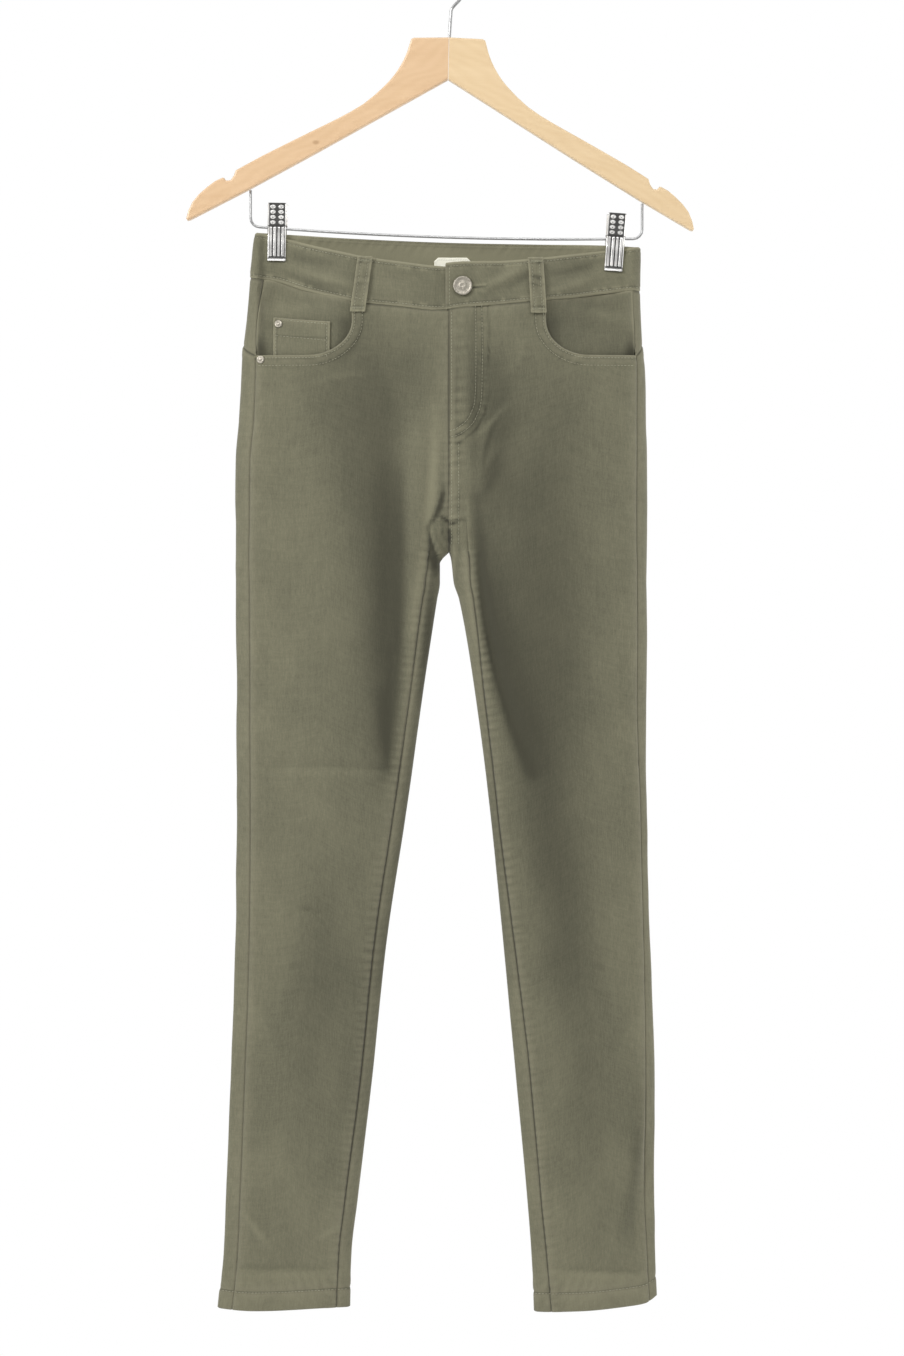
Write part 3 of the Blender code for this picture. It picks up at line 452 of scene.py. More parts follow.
# Cells across from the centre and down from the waist.
ACROSS = (("inseam", 12), ("front", 34), ("mouth", 24), ("fold", 7), ("back", 58))
DOWN = (
    ("pocket", 20),
    ("hip", 40),
    ("rise", 22),
    ("under", 18),
    ("crotch", 18),
    ("leg", 250),
    ("turn", 1),
    ("hem", 7),
)
SEAM_FINER = 0.7  # how much finer the cells are beside a seam
MOUTH_BELOW = 0.55  # where the mouth's grid line runs on below it, from fly to side seam

# How a seam shapes the cloth beside it, in millimetres: its groove, the allowance that is
# pressed to one side as a low step, and the puckers that its thread pulls.
Seam = namedtuple("Seam", "groove step step_width pucker reach period")
INSEAM = Seam(0.8, 0.5, 9.0, 0.6, 6.5, 7.4)
SIDE_SEAM = Seam(0.7, 0.35, 9.0, 0.16, 5.0, 9.0)
WAIST_SEAM = Seam(0.5, 0.0, 5.0, 0.34, 8.0, 9.5)
YOKE_SEAM = Seam(0.5, 0.45, 9.0, 0.2, 6.0, 9.0)
BACK_SEAM = Seam(0.5, 0.5, 9.0, 0.4, 6.0, 8.0)
MOUTH_SEAM = Seam(0.1, 0.6, 10.0, 0.2, 8.0, 10.0)
HEM_SEAM = Seam(0.5, 0.0, 5.0, 0.4, 10.0, 11.0)
FRONT_SEAM = Seam(0.2, 0.4, 13.0, 0.55, 10.0, 7.0)
FRONT_SEAM_FROM = (330 * MM, 420 * MM)  # the drops between which the front's seam sets in
FRONT_SEED = 9.0
MOUTH_PAST = 12  # how many rows below its corner the pocket mouth's seam still shapes
MOST_RELIEF = 1.6 * MM

# How seams mark the cloth: pale wear beside them, and a line of painted shade in their grooves.
# The painted shade is counted from the palest to the darkest.
FADE_REACH = 9 * MM  # how far from a seam its wear fades
# The dark line in a seam is painted shade in its groove, weaker at the side seam.
SEAM_LINE = 0.9 * MM  # half the width of the dark line in a seam
SEAM_DARK, SIDE_SEAM_DARK = 0.85, 0.35
PALEST, DARKEST = -1, 1.3
ELSEWHERE = 40 * MM  # added to the distance from a seam on the rows that it doesn't reach
CALM, CALM_REACH = 0.8, 9 * MM  # how much evener the cloth is beside the centre seams

# Soft unevenness all over: how long and how high each size of it is, in millimetres.
UNEVEN = ((75, 120, 1.0), (30, 42, 0.42), (12, 17, 0.15))

# Fine creases and, as strokes of the same kind, painted shade in the folds' valleys and painted
# highlight on their ridges.
FRONT_LINES = (
    Fold(-154, 706, -44, 708, 1, 1.3, -0.45),
    Fold(-152, 711, -60, 712, 1, 4, 0.4),
    Fold(-135, 828, -108, 834, 0, 1.5, -0.4),
    Fold(-186, 1144, -96, 1145, 0, 1.5, -0.7),
    Fold(-184, 1151, -100, 1152, 1, 4, 0.4),
    Fold(-180, 1096, -158, 1124, 0, 3, 0.9),
    Fold(-117, 1120, -96, 1108, 0, 3, 0.8),
    Fold(82, 1143, 178, 1147, -1, 1.5, -0.7),
    Fold(92, 1150, 172, 1153, 0, 4, 0.4),
    Fold(160, 700, 172, 706, 0, 2.0, -0.5),
    Fold(26, 520, 66, 692, -8, 2.2, -1.0),
    Fold(-52, 600, -54, 706, 0, 2.5, -0.6),
    Fold(22, 420, 50, 390, -1, 2.5, 0.8),
    Fold(30, 455, 46, 430, 0, 3, -0.5),
    Fold(-76, 318, -96, 352, 6, 3, -0.4),
    Fold(-120, 372, -70, 364, 3, 3, 0.4),
    Fold(66, 330, 52, 362, 3, 3, 0.4),
    # where four panels meet between the legs
    Fold(-5, 468, -18, 499, 2, 2.2, -1.4),
    Fold(-18, 496, -9, 527, -1, 1.8, -1.2),
    Fold(-12, 500, -4, 522, -2, 1.8, 0.8),
    Fold(-8, 487, 7, 495, -1, 1.2, -1.0),
    Fold(-7, 498, -2, 520, -2, 1.2, -0.5),
    Fold(15, 470, 18, 500, 1, 2.0, 0.8),
)
BACK_LINES = (
    Fold(-150, 714, -60, 720, 2, 1.3, -0.5),
    Fold(60, 740, 148, 735, 2, 1.3, -0.5),
    Fold(-140, 560, -40, 585, -4, 2.5, -0.6),
    Fold(40, 580, 142, 552, 4, 2.5, -0.6),
    Fold(-176, 1146, -98, 1150, 0, 1.5, -0.6),
    Fold(88, 1146, 172, 1142, 0, 1.5, -0.6),
)
# Painted shade where a stroke's push is positive and painted highlight where it is negative:
# valleys, the crotch and the inner legs darker, ridges and the hems paler.
FRONT_PAINTED_SHADE = (
    # the right leg's fold from the crotch to the knee, painted dark, and the painted shade
    # beside it
    Fold(24, 472, 72, 712, -10, 6, 1.0),
    Fold(33, 466, 76, 704, -10, 13, 0.55),
    Fold(52, 466, 92, 800, -9, 22, 0.3),
    Fold(86, 320, 92, 860, 0, 42, 0.7),
    Fold(98, 780, 130, 1090, 0, 34, 0.45),
    Fold(36, 330, 44, 470, 0, 20, 0.6),
    Fold(13, 497, 24, 600, -1, 4, -0.45),
    # the left leg's valley, painted as shade, and the ridge beside it, painted as highlight
    Fold(-56, 330, -61, 716, 3, 19, 0.4),
    Fold(-50, 450, -59, 716, 3, 13, 0.5),
    Fold(-43, 450, -53, 708, 4, 5, 0.35),
    Fold(-76, 350, -80, 730, 0, 34, 0.35),
    Fold(-58, 640, -55, 710, 0, 6, 0.4),
    Fold(-13, 390, -34, 590, 6, 5.5, -0.8),
    Fold(-30, 570, -42, 700, 2, 4, -0.4),
    Fold(-60, 780, -92, 1080, 3, 22, 0.3),
    # the strips inside the two inseams
    Fold(-14, 520, -25, 650, 1, 5, 0.8),
    Fold(-25, 640, -60, 900, 2, 6, 0.45),
    Fold(27, 640, 56, 960, 2, 5, 0.3),
    # the crotch
    Fold(-16, 500, -11, 536, -2, 4.5, 1.3),
    Fold(-4, 462, -18, 496, 2, 2.6, 0.8),
    Fold(-16, 496, -9, 523, -1, 1.3, -0.9),
    Fold(-12, 494, -7, 518, -2, 1.2, 0.6),
    Fold(-9, 493, -3, 514, -2, 1.1, -0.6),
    Fold(-7, 498, -2, 509, -1, 1.0, 0.5),
    Fold(-7, 488, 7, 495, -0.5, 1.1, 1.2),
    Fold(-5, 484, 8, 489, -0.5, 1.0, -0.5),
    Fold(5, 500, 4, 540, 0, 1.6, -0.5),
    Fold(9, 500, 9, 536, 0, 1.4, 0.35),
    Fold(0.4, 498, 1.2, 511, 0, 1.6, 2.2),
    # the fly and the hips
    Fold(5, 330, 5, 420, 0, 4, 0.5),
    Fold(20, 320, 22, 470, 0, 6, 0.4),
    Fold(44, 400, 30, 452, -4, 2.2, 0.4),
    Fold(30, 470, 44, 440, 0, 5, 0.4),
    Fold(2.6, 312, 2.6, 500, 0, 1.2, -0.8),
    Fold(-6, 420, -6, 500, 0, 3, 0.35),
    Fold(-112, 240, -76, 470, 0, 46, 0.4),
    Fold(-30, 320, -26, 400, 0, 14, 0.3),
    # the lower legs and the hems
    Fold(166, 985, 155, 1118, 3, 7, 0.4),
    Fold(-104, 780, -128, 1040, 0, 34, 0.45),
    Fold(-198, 1165, -90, 1166, 0, 26, -0.3),
    Fold(80, 1166, 184, 1164, 0, 26, -0.35),
    Fold(184, 420, 178, 980, -3, 9, -0.4),
    Fold(-188, 430, -194, 1000, 0, 6, -0.2),
)
# The same painted shade and highlight on the back.
BACK_PAINTED_SHADE = (
    Fold(-28, 500, -82, 660, -10, 12, 0.45),
    Fold(26, 505, 84, 690, 10, 12, 0.45),
    Fold(-198, 1165, -90, 1166, 0, 26, -0.25),
    Fold(80, 1166, 184, 1164, 0, 26, -0.25),
)

# Rows of stitches that sink into the front: paths of (x, drop) places, and how far off
# each path its rows lie. The threads of the crotch's rows run on a little further.
J_STITCH = (
    (28.5, 303), (29, 330), (29, 360), (28.2, 385), (25.5, 397), (19.5, 408), (8.5, 416.5),
    (1.5, 418.5),
)
EDGE_ROW = 2.2  # from a seam to its first row of stitches
FLY_ROW = (309, 404)
CROTCH_ROWS = (424, 500)
CROTCH_THREADS = (424, 512)
FRONT_ROWS = {
    LEFT: (),
    RIGHT: (
        (J_STITCH, (0, 5.6)),
        ([(EDGE_ROW, drop) for drop in FLY_ROW], (0,)),
        ([(EDGE_ROW, drop) for drop in CROTCH_ROWS], (0, 6.2)),
    ),
}
MOUTH_ROWS = (EDGE_ROW, 8.8)
ROW_WIDTH = 0.8 * MM  # half the width of the groove that a row sinks into
ROW_SINK, MOUTH_ROW_SINK = 0.28 * MM, 0.25 * MM
# ROW_DARK is painted shade in a row's groove; MOUTH_EDGE is a painted highlight along the pocket
# mouth's rolled edge.
ROW_DARK = 0.45
MOUTH_EDGE = (0.2 * MM, 1.1 * MM, 1.4)  # where its pale edge is, how wide and how pale

FLY_EDGE = 1.5 * MM  # how far the overlapping front stands out at the centre
FLY_NEAR, FLY_ALL = 0.65, 0.35  # the shares of it that taper and that stay level
FLY_WIDTH = 27 * MM
FLY_END = 412 * MM
FLY_SINK = 0.35 * MM  # how far the front below gives way
FLY_RIDGE = (15 * MM, 3 * MM, 0.35 * MM)  # the zip's tape: across, its width and its height
# FLY_WAVE_TONE is how strongly the fly's waves are painted paler on their crests and darker in
# their hollows, as painted highlight and shade.
FLY_WAVE, FLY_WAVE_TONE = 0.3 * MM, 1.1


def lines(stretches, finer=0.0):
    """Each grid line's stretch and share of the way along it, and where each stretch starts."""
    names, shares, starts = [], [], {}
    for name, cells in stretches:
        starts[name] = len(names)
        t = np.arange(cells) / cells
        names += [name] * cells
        shares += list(t + finer * ((1 - np.cos(np.pi * t)) / 2 - t))
    starts["end"] = len(names)
    return np.array(names + [stretches[-1][0]]), np.array(shares + [1.0]), starts


def pocket_share(t):
    """How far down its height the pocket mouth is, and how far it has swung sideways."""
    corner = np.clip((t - 1 / 3) / (2 / 3), 0, 1) * np.pi / 2
    down = np.where(t < 1 / 3, MOUTH_STRAIGHT * 3 * t,
                    MOUTH_STRAIGHT + (1 - MOUTH_STRAIGHT) * np.sin(corner))
    return down, 1 - np.cos(corner)


def run_length(points, axis):
    """How far each point is from the first one, along the rows or the columns."""
    steps = np.linalg.norm(np.diff(points, axis=axis), axis=-1)
    start = np.zeros_like(np.take(steps, [0], axis=axis))
    return np.concatenate([start, np.cumsum(steps, axis=axis)], axis=axis)


def seam_relief(seam, away, along, seed):
    """How far a seam moves the cloth out, and its puckers' wave: painted paler on their crests,
    partly as wear and partly as painted highlight, and darker in their hollows as painted shade.
    The step is on the side where away is positive."""
    reach = np.abs(away) / MM
    groove = -seam.groove * np.exp(-((reach / 1.5) ** 2))
    step = seam.step * (away > 0) * (1 - ease(0.8, 1.15, reach / seam.step_width))
    pucker = seam.pucker * ripple(along / MM, seam.period, seed)
    pucker = pucker * bump(reach, 3.0, seam.reach) * np.where(away > 0, 1, 0.45)
    return np.stack([(groove + step + pucker) * MM, pucker])


def path_distance(places, path):
    """How far each flat place is from a path of points."""
    best = np.full(places.shape[:-1], 1.0)
    for a, b in zip(path, path[1:]):
        t = np.clip((places - a) @ (b - a) / (b - a).dot(b - a), 0, 1)
        best = np.minimum(best, np.linalg.norm(places - a - t[..., None] * (b - a), axis=-1))
    return best


class Grid:
    """Points of an outer face with their normals, lifts, thickness and pattern places."""

    def __init__(self, points, normals, lift=0.0, thickness=CLOTH):
        self.points, self.normals = points, normals
        shape = points.shape[:2]
        self.lift = np.broadcast_to(lift, shape)
        self.thickness = np.broadcast_to(thickness, shape)
        self.uv = np.stack([run_length(points, 1), run_length(points, 0)], axis=-1)
        self.fade = self.crease = np.zeros(shape)
        self.inside = None  # the painted shade on the inner face, where it isn't the outer one's

    def cells(self, outward_is_right_handed):
        """All the cells of an open grid."""
        rows, columns = self.points.shape[:2]
        corner = np.arange(rows * columns).reshape(rows, columns)
        cells = np.stack([corner[:-1, :-1], corner[:-1, 1:], corner[1:, 1:], corner[1:, :-1]],
                         axis=-1).reshape(-1, 4)
        return cells if outward_is_right_handed else cells[:, ::-1]


class Half(Grid):
    """The fine grid of one half of the jeans."""

    def __init__(self, side):
        self.side = side
        self.columns, self.share, self.column_start = lines(ACROSS, SEAM_FINER)
        names, shares, self.row_start = lines(DOWN)
        self.rows, self.t = names[:, None], shares[:, None]
        self.closed = self.row_start["crotch"]
        angle, drop = self.places()
        points, normals = skin(side, angle, drop)
        ends = normals[self.closed:, 0] + normals[self.closed:, -1]
        normals[self.closed:, 0] = ends / np.linalg.norm(ends, axis=-1, keepdims=True)
        super().__init__(points, normals)
        self.angle, self.drop = angle, drop
        self.across = self.uv[..., 0].copy()
        hem = np.arange(len(names))[:, None] >= self.row_start["hem"]
        self.thickness = np.broadcast_to(np.where(hem, HEM_CLOTH, CLOTH), angle.shape)
        self.lift = self.relief() + np.where(hem, HEM_LIFT, 0.0)
        self.uv[..., 0] -= self.across[:, [self.column_start["fold"]]]

    def carried_round(self):
        """The same grid, the strip inside the inseam laid out beside the back that it is of."""
        rear = copy.copy(self)
        rear.uv = self.uv.copy()
        start, end = self.row_start["under"], self.column_start["front"] + 1
        rear.uv[start:, :end, 0] += self.across[start:, -1:]
        return rear

    def row_drop(self, x, around):
        """The drop of each row where it crosses x. around is 0 on the front, 1 on the back."""
        side, name, t = self.side, self.rows, self.t
        seam = (1 - around) * waist_seam(side, x, False) + around * waist_seam(side, x, True)
        pocket = (1 - around) * MOUTH_DROP + around * yoke_drop(side, x)
        hem_top = HEM.at("drop", x) - HEM_HEIGHT
        front_turn = math.asin((FRONT_CROTCH - RISE_TOP) / (APEX - RISE_TOP))
        under_turn = front_turn + (np.pi / 2 - front_turn) * t
        drops = {
            "pocket": seam + (pocket - seam) * pocket_share(t)[0],
            "hip": pocket + (RISE_TOP - pocket) * t,
            "rise": RISE_TOP + (APEX - RISE_TOP) * np.sin(front_turn * t) + 0 * x,
            "under": RISE_TOP + (APEX - RISE_TOP) * np.sin(under_turn) + 0 * x,
            "crotch": APEX + (LEG_TOP - APEX) * t**1.5 + 0 * x,
            "leg": LEG_TOP + (hem_top - LEG_TOP) * t,
            "turn": hem_top + MM * t,
            "hem": hem_top + MM + (HEM_HEIGHT - MM) * t,
        }
        return np.select([name == key for key in drops], list(drops.values()))

    def seam_x(self, width_of, start):
        """Where a seam crosses each row: its place depends on its own drop."""
        x = np.full(self.t.shape, self.side * start)
        for _ in range(ROUNDS):
            x = self.side * width_of(self.row_drop(x, 0.0))
        return x

    def places(self):
        """The angle and the drop of every grid point."""
        side, leg = self.side, LEGS[self.side]
        fly = self.seam_x(lambda d: leg.at("inner", d) + leg.at("inseam", d), 20 * MM)
        out = self.seam_x(lambda d: leg.at("outer", d) - leg.at("outseam", d), 170 * MM)
        easy = fly + MOUTH_BELOW * (out - fly)
        rim = side * (MOUTH_ACROSS + MOUTH_CORNER * pocket_share(self.t)[1])
        corner = side * (MOUTH_ACROSS + MOUTH_CORNER)
        mouth = np.select([self.rows == "pocket", self.rows == "hip"],
                          [rim, corner + (easy - corner) * ease(0, 1, self.t)], easy)
        spans = {"front": (fly, mouth), "mouth": (mouth, out)}
        fly_angle = angle_at(side, fly, self.row_drop(fly, 0.0))
        out_angle = angle_at(side, out, self.row_drop(out, 0.0))
        angles, drops = [], []
        for name, u in zip(self.columns, self.share):
            if name in spans:
                x = spans[name][0] + (spans[name][1] - spans[name][0]) * u
                drop = self.row_drop(x, 0.0)
                angle = angle_at(side, x, drop)
            else:
                around = {"inseam": 0.0, "fold": u, "back": 1.0}[name]
                turn = (u + math.acos(1 - 2 * u) / np.pi) / 2
                angle = {"inseam": fly_angle * u, "fold": out_angle + (np.pi - out_angle) * u,
                         "back": np.pi * (1 + turn) + 0 * fly}[name]
                drop = self.row_drop(side * 0.1 + 0 * fly, around)
                for _ in range(ROUNDS):
                    drop = self.row_drop(cloth(side, angle, drop)[..., 0], around)
            angles.append(angle)
            drops.append(drop)
        return np.hstack(angles), np.hstack(drops)

    def relief(self):
        """What seams, the fly and soft unevenness add to the smooth shape. It also works out
        where the cloth is worn, and where shade and highlight are painted on it."""
        side, column, row = self.side, self.column_start, self.row_start
        x, drop = self.points[..., 0], -self.points[..., 2]
        across, down = self.across, self.uv[..., 1]
        index = np.arange(len(self.columns))[None, :]
        line = np.arange(len(self.rows))[:, None]
        front = index <= column["fold"]
        below = ease(row["under"], row["crotch"], line)
        above = 1 - below
        on_front = above * (index < column["mouth"])
        to_in = across - across[:, [column["front"]]]
        to_side = across[:, [column["fold"]]] - across
        to_waist = down
        to_hem = down[[row["hem"]]] - down
        to_yoke = down - down[[row["hip"]]]
        to_back = across[:, -1:] - across
        self.to_mouth = self.mouth_distance()
        total, seed = np.zeros((2, *across.shape)), 3.0 + side
        for i, (where, seam, away, along) in enumerate((
            (below, INSEAM, to_in, down),
            (1, SIDE_SEAM, to_side, down),
            (1, WAIST_SEAM, to_waist, across),
            (1, HEM_SEAM, to_hem, across + 0.5 * down),
            (~front, YOKE_SEAM, to_yoke, across),
            (above * ~front, BACK_SEAM, to_back, down),
        )):
            total += where * seam_relief(seam, away, along, seed + i)
        total += on_front * ease(*FRONT_SEAM_FROM, drop) * (
            seam_relief(FRONT_SEAM, across, down, FRONT_SEED))
        total += on_front * self.fly(across, drop)
        total += front * (line <= row["hip"] + MOUTH_PAST) * (
            seam_relief(MOUTH_SEAM, self.to_mouth, across - side * down, seed + 6))
        nearest = np.minimum.reduce([
            np.abs(to_side), to_waist, np.abs(to_hem), np.abs(self.to_mouth),
            np.where(front, 1.0, np.abs(to_yoke)),
            np.abs(to_in) + ELSEWHERE * above,
            np.minimum(across, to_back) + ELSEWHERE * below,
        ])
        self.fade = np.exp(-nearest / FADE_REACH)
        fine, tone = (
            np.where(front, fold_push(ahead, x, drop), fold_push(behind, x, drop)) / MM
            for ahead, behind in ((FRONT_LINES, BACK_LINES), (FRONT_PAINTED_SHADE, BACK_PAINTED_SHADE))
        )
        total[0] += fine * MM
        dark = np.where(np.abs(to_side) < 1.5 * MM, SIDE_SEAM_DARK, SEAM_DARK)
        sunk, rows = self.stitched()
        total[0] += front * above * sunk
        # Painted shade and highlight: dark seam grooves, the painted fold strokes, fine folds
        # darker where they sink and paler where they rise, and puckers paler on their crests,
        # partly as wear, and darker in their hollows.
        crease = dark * bump(nearest, 0, SEAM_LINE) + tone - 0.5 * fine - 0.45 * total[1]
        self.crease = np.clip(crease + front * above * rows, PALEST, DARKEST)
        calm = 1 - CALM * bump(to_back, 0, CALM_REACH) - CALM * bump(across, 0, CALM_REACH)
        for i, (length, height, rise_mm) in enumerate(UNEVEN):
            total[0] += rise_mm * MM * calm * (
                noise(across / length / MM, drop / height / MM, seed + i))
        return np.clip(total[0], -MOST_RELIEF, MOST_RELIEF)

    def fly(self, across, drop):
        """Lift, and the painted shade and highlight of its waves: the right front laps over the
        left one, down to the fly's end.
        """
        fade = 1 - 0.55 * ease(FLY_END - 20 * MM, FLY_END + 40 * MM, drop)
        if self.side == LEFT:
            sunk = -FLY_SINK * fade * (1 - ease(0, 12 * MM, across))
            return np.stack([sunk, 0 * sunk])
        flat = 1 - ease(0.75 * FLY_WIDTH, FLY_WIDTH, across)
        ridge_at, ridge_width, ridge_height = FLY_RIDGE
        ridge = ridge_height * bump(across, ridge_at, ridge_width)
        taper = FLY_NEAR * FLY_EDGE * (1 - ease(0, FLY_WIDTH, across))
        lift = (FLY_ALL * FLY_EDGE + taper) * (fade * flat)
        lift = lift + ridge * (1 - ease(380 * MM, 410 * MM, drop))
        waves = ripple((drop + 0.1 * across) / MM, 9.5, 51) * bump(across, 9 * MM, 6 * MM)
        waves += 0.8 * ripple((drop - 0.4 * across) / MM, 7.5, 57) * (
            bump(across, 29 * MM, 4 * MM) * (1 - ease(395 * MM, 410 * MM, drop)))
        waves *= ease(306 * MM, 322 * MM, drop)
        waves *= 0.65 + 0.6 * noise(drop / 21 / MM, across / 9 / MM, 59)
        return np.stack([lift + FLY_WAVE * waves, FLY_WAVE_TONE * waves])

    def stitched(self):
        """Lift and painted shade where rows of stitches sink into the front, with a painted
        highlight along the pocket mouth's edge.
        """
        places = np.stack([self.points[..., 0], self.drop], axis=-1)
        grooves = [(path_distance(places, np.array(path) * MM), rows, ROW_SINK)
                   for path, rows in FRONT_ROWS[self.side]]
        grooves.append((self.to_mouth, MOUTH_ROWS, MOUTH_ROW_SINK))
        lift, crease = np.zeros((2, *self.drop.shape))
        for near, rows, sink in grooves:
            for row in rows:
                lift -= sink * bump(near, row * MM, ROW_WIDTH)
                crease += ROW_DARK * bump(near, row * MM, ROW_WIDTH)
        edge_at, edge_width, pale = MOUTH_EDGE
        return lift, crease - pale * bump(self.to_mouth, edge_at, edge_width)

    def mouth_distance(self):
        """How far inside the pocket mouth's edge each front point lies."""
        column, row = self.column_start, self.row_start
        rim = self.points[: row["hip"] + 1, column["mouth"]]
        foot = self.points[row["hip"], column["mouth"]: column["fold"] + 1]
        edge = np.concatenate([rim, foot[1:]])[:, [0, 2]]
        return path_distance(self.points[..., [0, 2]], edge)

    def corner(self, row, column):
        """A point's number. Below the apex the last column is the first one."""
        last = len(self.columns) - 1
        column = np.where((column == last) & (row >= self.closed), 0, column)
        return row * len(self.columns) + column

    def block(self, columns, rows):
        """The cells of a block, given by the first and the past-last stretch each way."""
        i, j = np.meshgrid(
            np.arange(self.row_start[rows[0]], self.row_start[rows[1]]),
            np.arange(self.column_start[columns[0]], self.column_start[columns[1]]),
            indexing="ij",
        )
        cells = np.stack([self.corner(i, j), self.corner(i, j + 1),
                          self.corner(i + 1, j + 1), self.corner(i + 1, j)], axis=-1)
        cells = cells.reshape(-1, 4)
        return cells if self.side == LEFT else cells[:, ::-1]


# A piece of cloth, with the width and length of the cloth it was cut from and its own area.
Cut = namedtuple("Cut", "piece flat area")
CLOTH_SHARP, HARD_SHARP = math.radians(50), math.radians(40)  # edges sharper than these show


def borders(cells):
    """The edges that only one cell has, each with that cell's number."""
    edges = np.stack([cells, np.roll(cells, -1, axis=1)], axis=-1).reshape(-1, 2)
    most = edges.max() + 1
    there, back = edges @ [most, 1], edges @ [1, most]
    single = ~np.isin(there, back)
    return edges[single], np.repeat(np.arange(len(cells)), 4)[single]


def wall(name, look, grid, cells, gap=SEAM_GAP / 2, round_edge=0.35):
    """A closed wall of cloth on some cells of a grid, with softly rounded edges."""
    points, normals = grid.points.reshape(-1, 3), grid.normals.reshape(-1, 3)
    edges, owners = borders(cells)
    a, b = points[edges[:, 0]], points[edges[:, 1]]
    along = (b - a) / np.linalg.norm(b - a, axis=1, keepdims=True)
    inward = points[cells[owners]].mean(axis=1) - (a + b) / 2
    inward -= along * (inward * along).sum(axis=1, keepdims=True)
    inward /= np.linalg.norm(inward, axis=1, keepdims=True)
    pull, count = (np.zeros((len(points), n)) for n in (3, 1))
    for ends in edges.T:
        np.add.at(pull, ends, inward)
        np.add.at(count, ends, 1.0)
    length = np.linalg.norm(pull, axis=1, keepdims=True)
    squares = np.where(count > 0, np.maximum(length**2 / np.maximum(count, 1), 0.5), 1)
    move = gap * pull / squares
    lift, thickness = grid.lift.reshape(-1, 1), grid.thickness.reshape(-1, 1)
    outer = points + move + normals * lift
    inner = outer - normals * thickness
    middle = (outer + inner) / 2 - pull / np.maximum(length, 1e-9) * thickness * round_edge
    used = np.unique(cells)
    place = np.full(len(points), -1)
    place[used] = np.arange(len(used))
    rim = np.unique(edges)
    rim_place = np.full(len(points), -1)
    rim_place[rim] = 2 * len(used) + np.arange(len(rim))
    top, under = place[cells], place[cells][:, ::-1] + len(used)
    first, second = edges.T
    upper = np.stack([place[second], place[first], rim_place[first], rim_place[second]], axis=1)
    lower = np.stack([rim_place[second], rim_place[first], place[first] + len(used),
                      place[second] + len(used)], axis=1)
    faces = np.concatenate([top, under, upper, lower])
    mesh = bpy.data.meshes.new(name)
    mesh.from_pydata(np.concatenate([outer[used], inner[used], middle[rim]]).tolist(), [],
                     faces.tolist())
    source = np.concatenate([used, used, rim])
    crease = grid.crease.reshape(-1)[source]
    if grid.inside is not None:
        crease[len(used): 2 * len(used)] = grid.inside.reshape(-1)[used]
    mark(mesh, grid.uv.reshape(-1, 2)[source], fade=grid.fade.reshape(-1)[source],
         crease=crease)
    corner = points[cells]
    area = np.linalg.norm(np.cross(corner[:, 2] - corner[:, 0], corner[:, 3] - corner[:, 1]),
                          axis=1).sum() / 2
    places = grid.uv.reshape(-1, 2)[used]
    flat = [float(size) for size in np.ptp(places, axis=0)]
    return Cut(finish_mesh(name, mesh, look), flat, min(float(area), flat[0] * flat[1]))


def mark(mesh, uv, **values):
    """Gives a mesh its pattern places in metres, and its points the values that looks read."""
    corner = np.zeros(len(mesh.loops), np.int32)
    mesh.loops.foreach_get("vertex_index", corner)
    layer = mesh.uv_layers.new(name="cloth")
    layer.uv.foreach_set("vector", uv[corner].astype(np.float32).ravel())
    for name, numbers in values.items():
        layer = mesh.attributes.new(name, "FLOAT", "POINT")
        layer.data.foreach_set("value", numbers.astype(np.float32))


def finish_mesh(name, mesh, look):
    """A finished mesh as an object of its own, shaded smooth but for its sharp edges."""
    mesh.materials.append(look)
    mesh.shade_smooth()
    mesh.set_sharp_from_angle(angle=CLOTH_SHARP)
    made = bpy.data.objects.new(name, mesh)
    bpy.context.collection.objects.link(made)
    return made


def patch(name, look, across, down, place, back=False, over=LAY_GAP, thickness=POCKET_CLOTH,
          relief=None, seed=0.0, tone=None):
    """A wall laid on the front or the back. place turns the shares across and down into
    (x, drop); over is how far its inner face lies out from the panel's outer face."""
    u, v = np.meshgrid(np.linspace(0, 1, across + 1), np.linspace(0, 1, down + 1))
    x, drop = place(u, v)
    points, normals = face_skin(x, drop, back)
    over = over(u, v) if callable(over) else over + 0 * u
    grid = Grid(points, normals, over + thickness, thickness)
    length, height = grid.uv[..., 0].max(), grid.uv[..., 1].max()
    away = np.minimum(np.minimum(u, 1 - u) * length, np.minimum(v, 1 - v) * height)
    grid.fade = np.exp(-away / (6 * MM))
    # A painted highlight along the patch's edges, beside its pale worn border.
    grid.crease = -0.8 * bump(away, 0, 0.9 * MM) + (tone(u, v) if tone else 0.0)
    rough = 0.16 * MM * noise(x / 9 / MM, drop / 12 / MM, 21 + seed)
    grid.lift = grid.lift + rough + (relief(u, v, away) if relief else 0.0)
    return wall(name, look, grid, grid.cells((x[0, -1] > x[0, 0]) == back), gap=0.0)


# --- The sewn pieces ----------------------------------------------------------------------


def upper_panels(side, name, look):
    """Front and back panel and yoke of one half, by the names of the solids they stand for."""
    half = Half(side)
    fronts = [half.block(("inseam", "mouth"), ("pocket", "under")),
              half.block(("front", "mouth"), ("under", "end")),
              half.block(("mouth", "fold"), ("hip", "end"))]
    backs = [half.block(("fold", "end"), ("hip", "end")),
             half.block(("inseam", "front"), ("under", "end"))]
    yoke = half.block(("fold", "end"), ("pocket", "hip"))
    return {
        f"front_{name}": wall(f"cloth_front_{name}", look, half, np.concatenate(fronts)),
        f"back_{name}": wall(f"cloth_back_{name}", look, half.carried_round(),
                             np.concatenate(backs)),
        f"yoke_{name}": wall(f"cloth_yoke_{name}", look, half, yoke),
    }


BAND_STEP = 1.6 * MM  # from one upright of the waistband's grid to the next
BAND_LEVEL, BAND_MIDDLE = 265 * MM, 270 * MM  # the drops at which they are placed and measured
BAND_TURN = 14  # how many of them each turn round the outer edge has


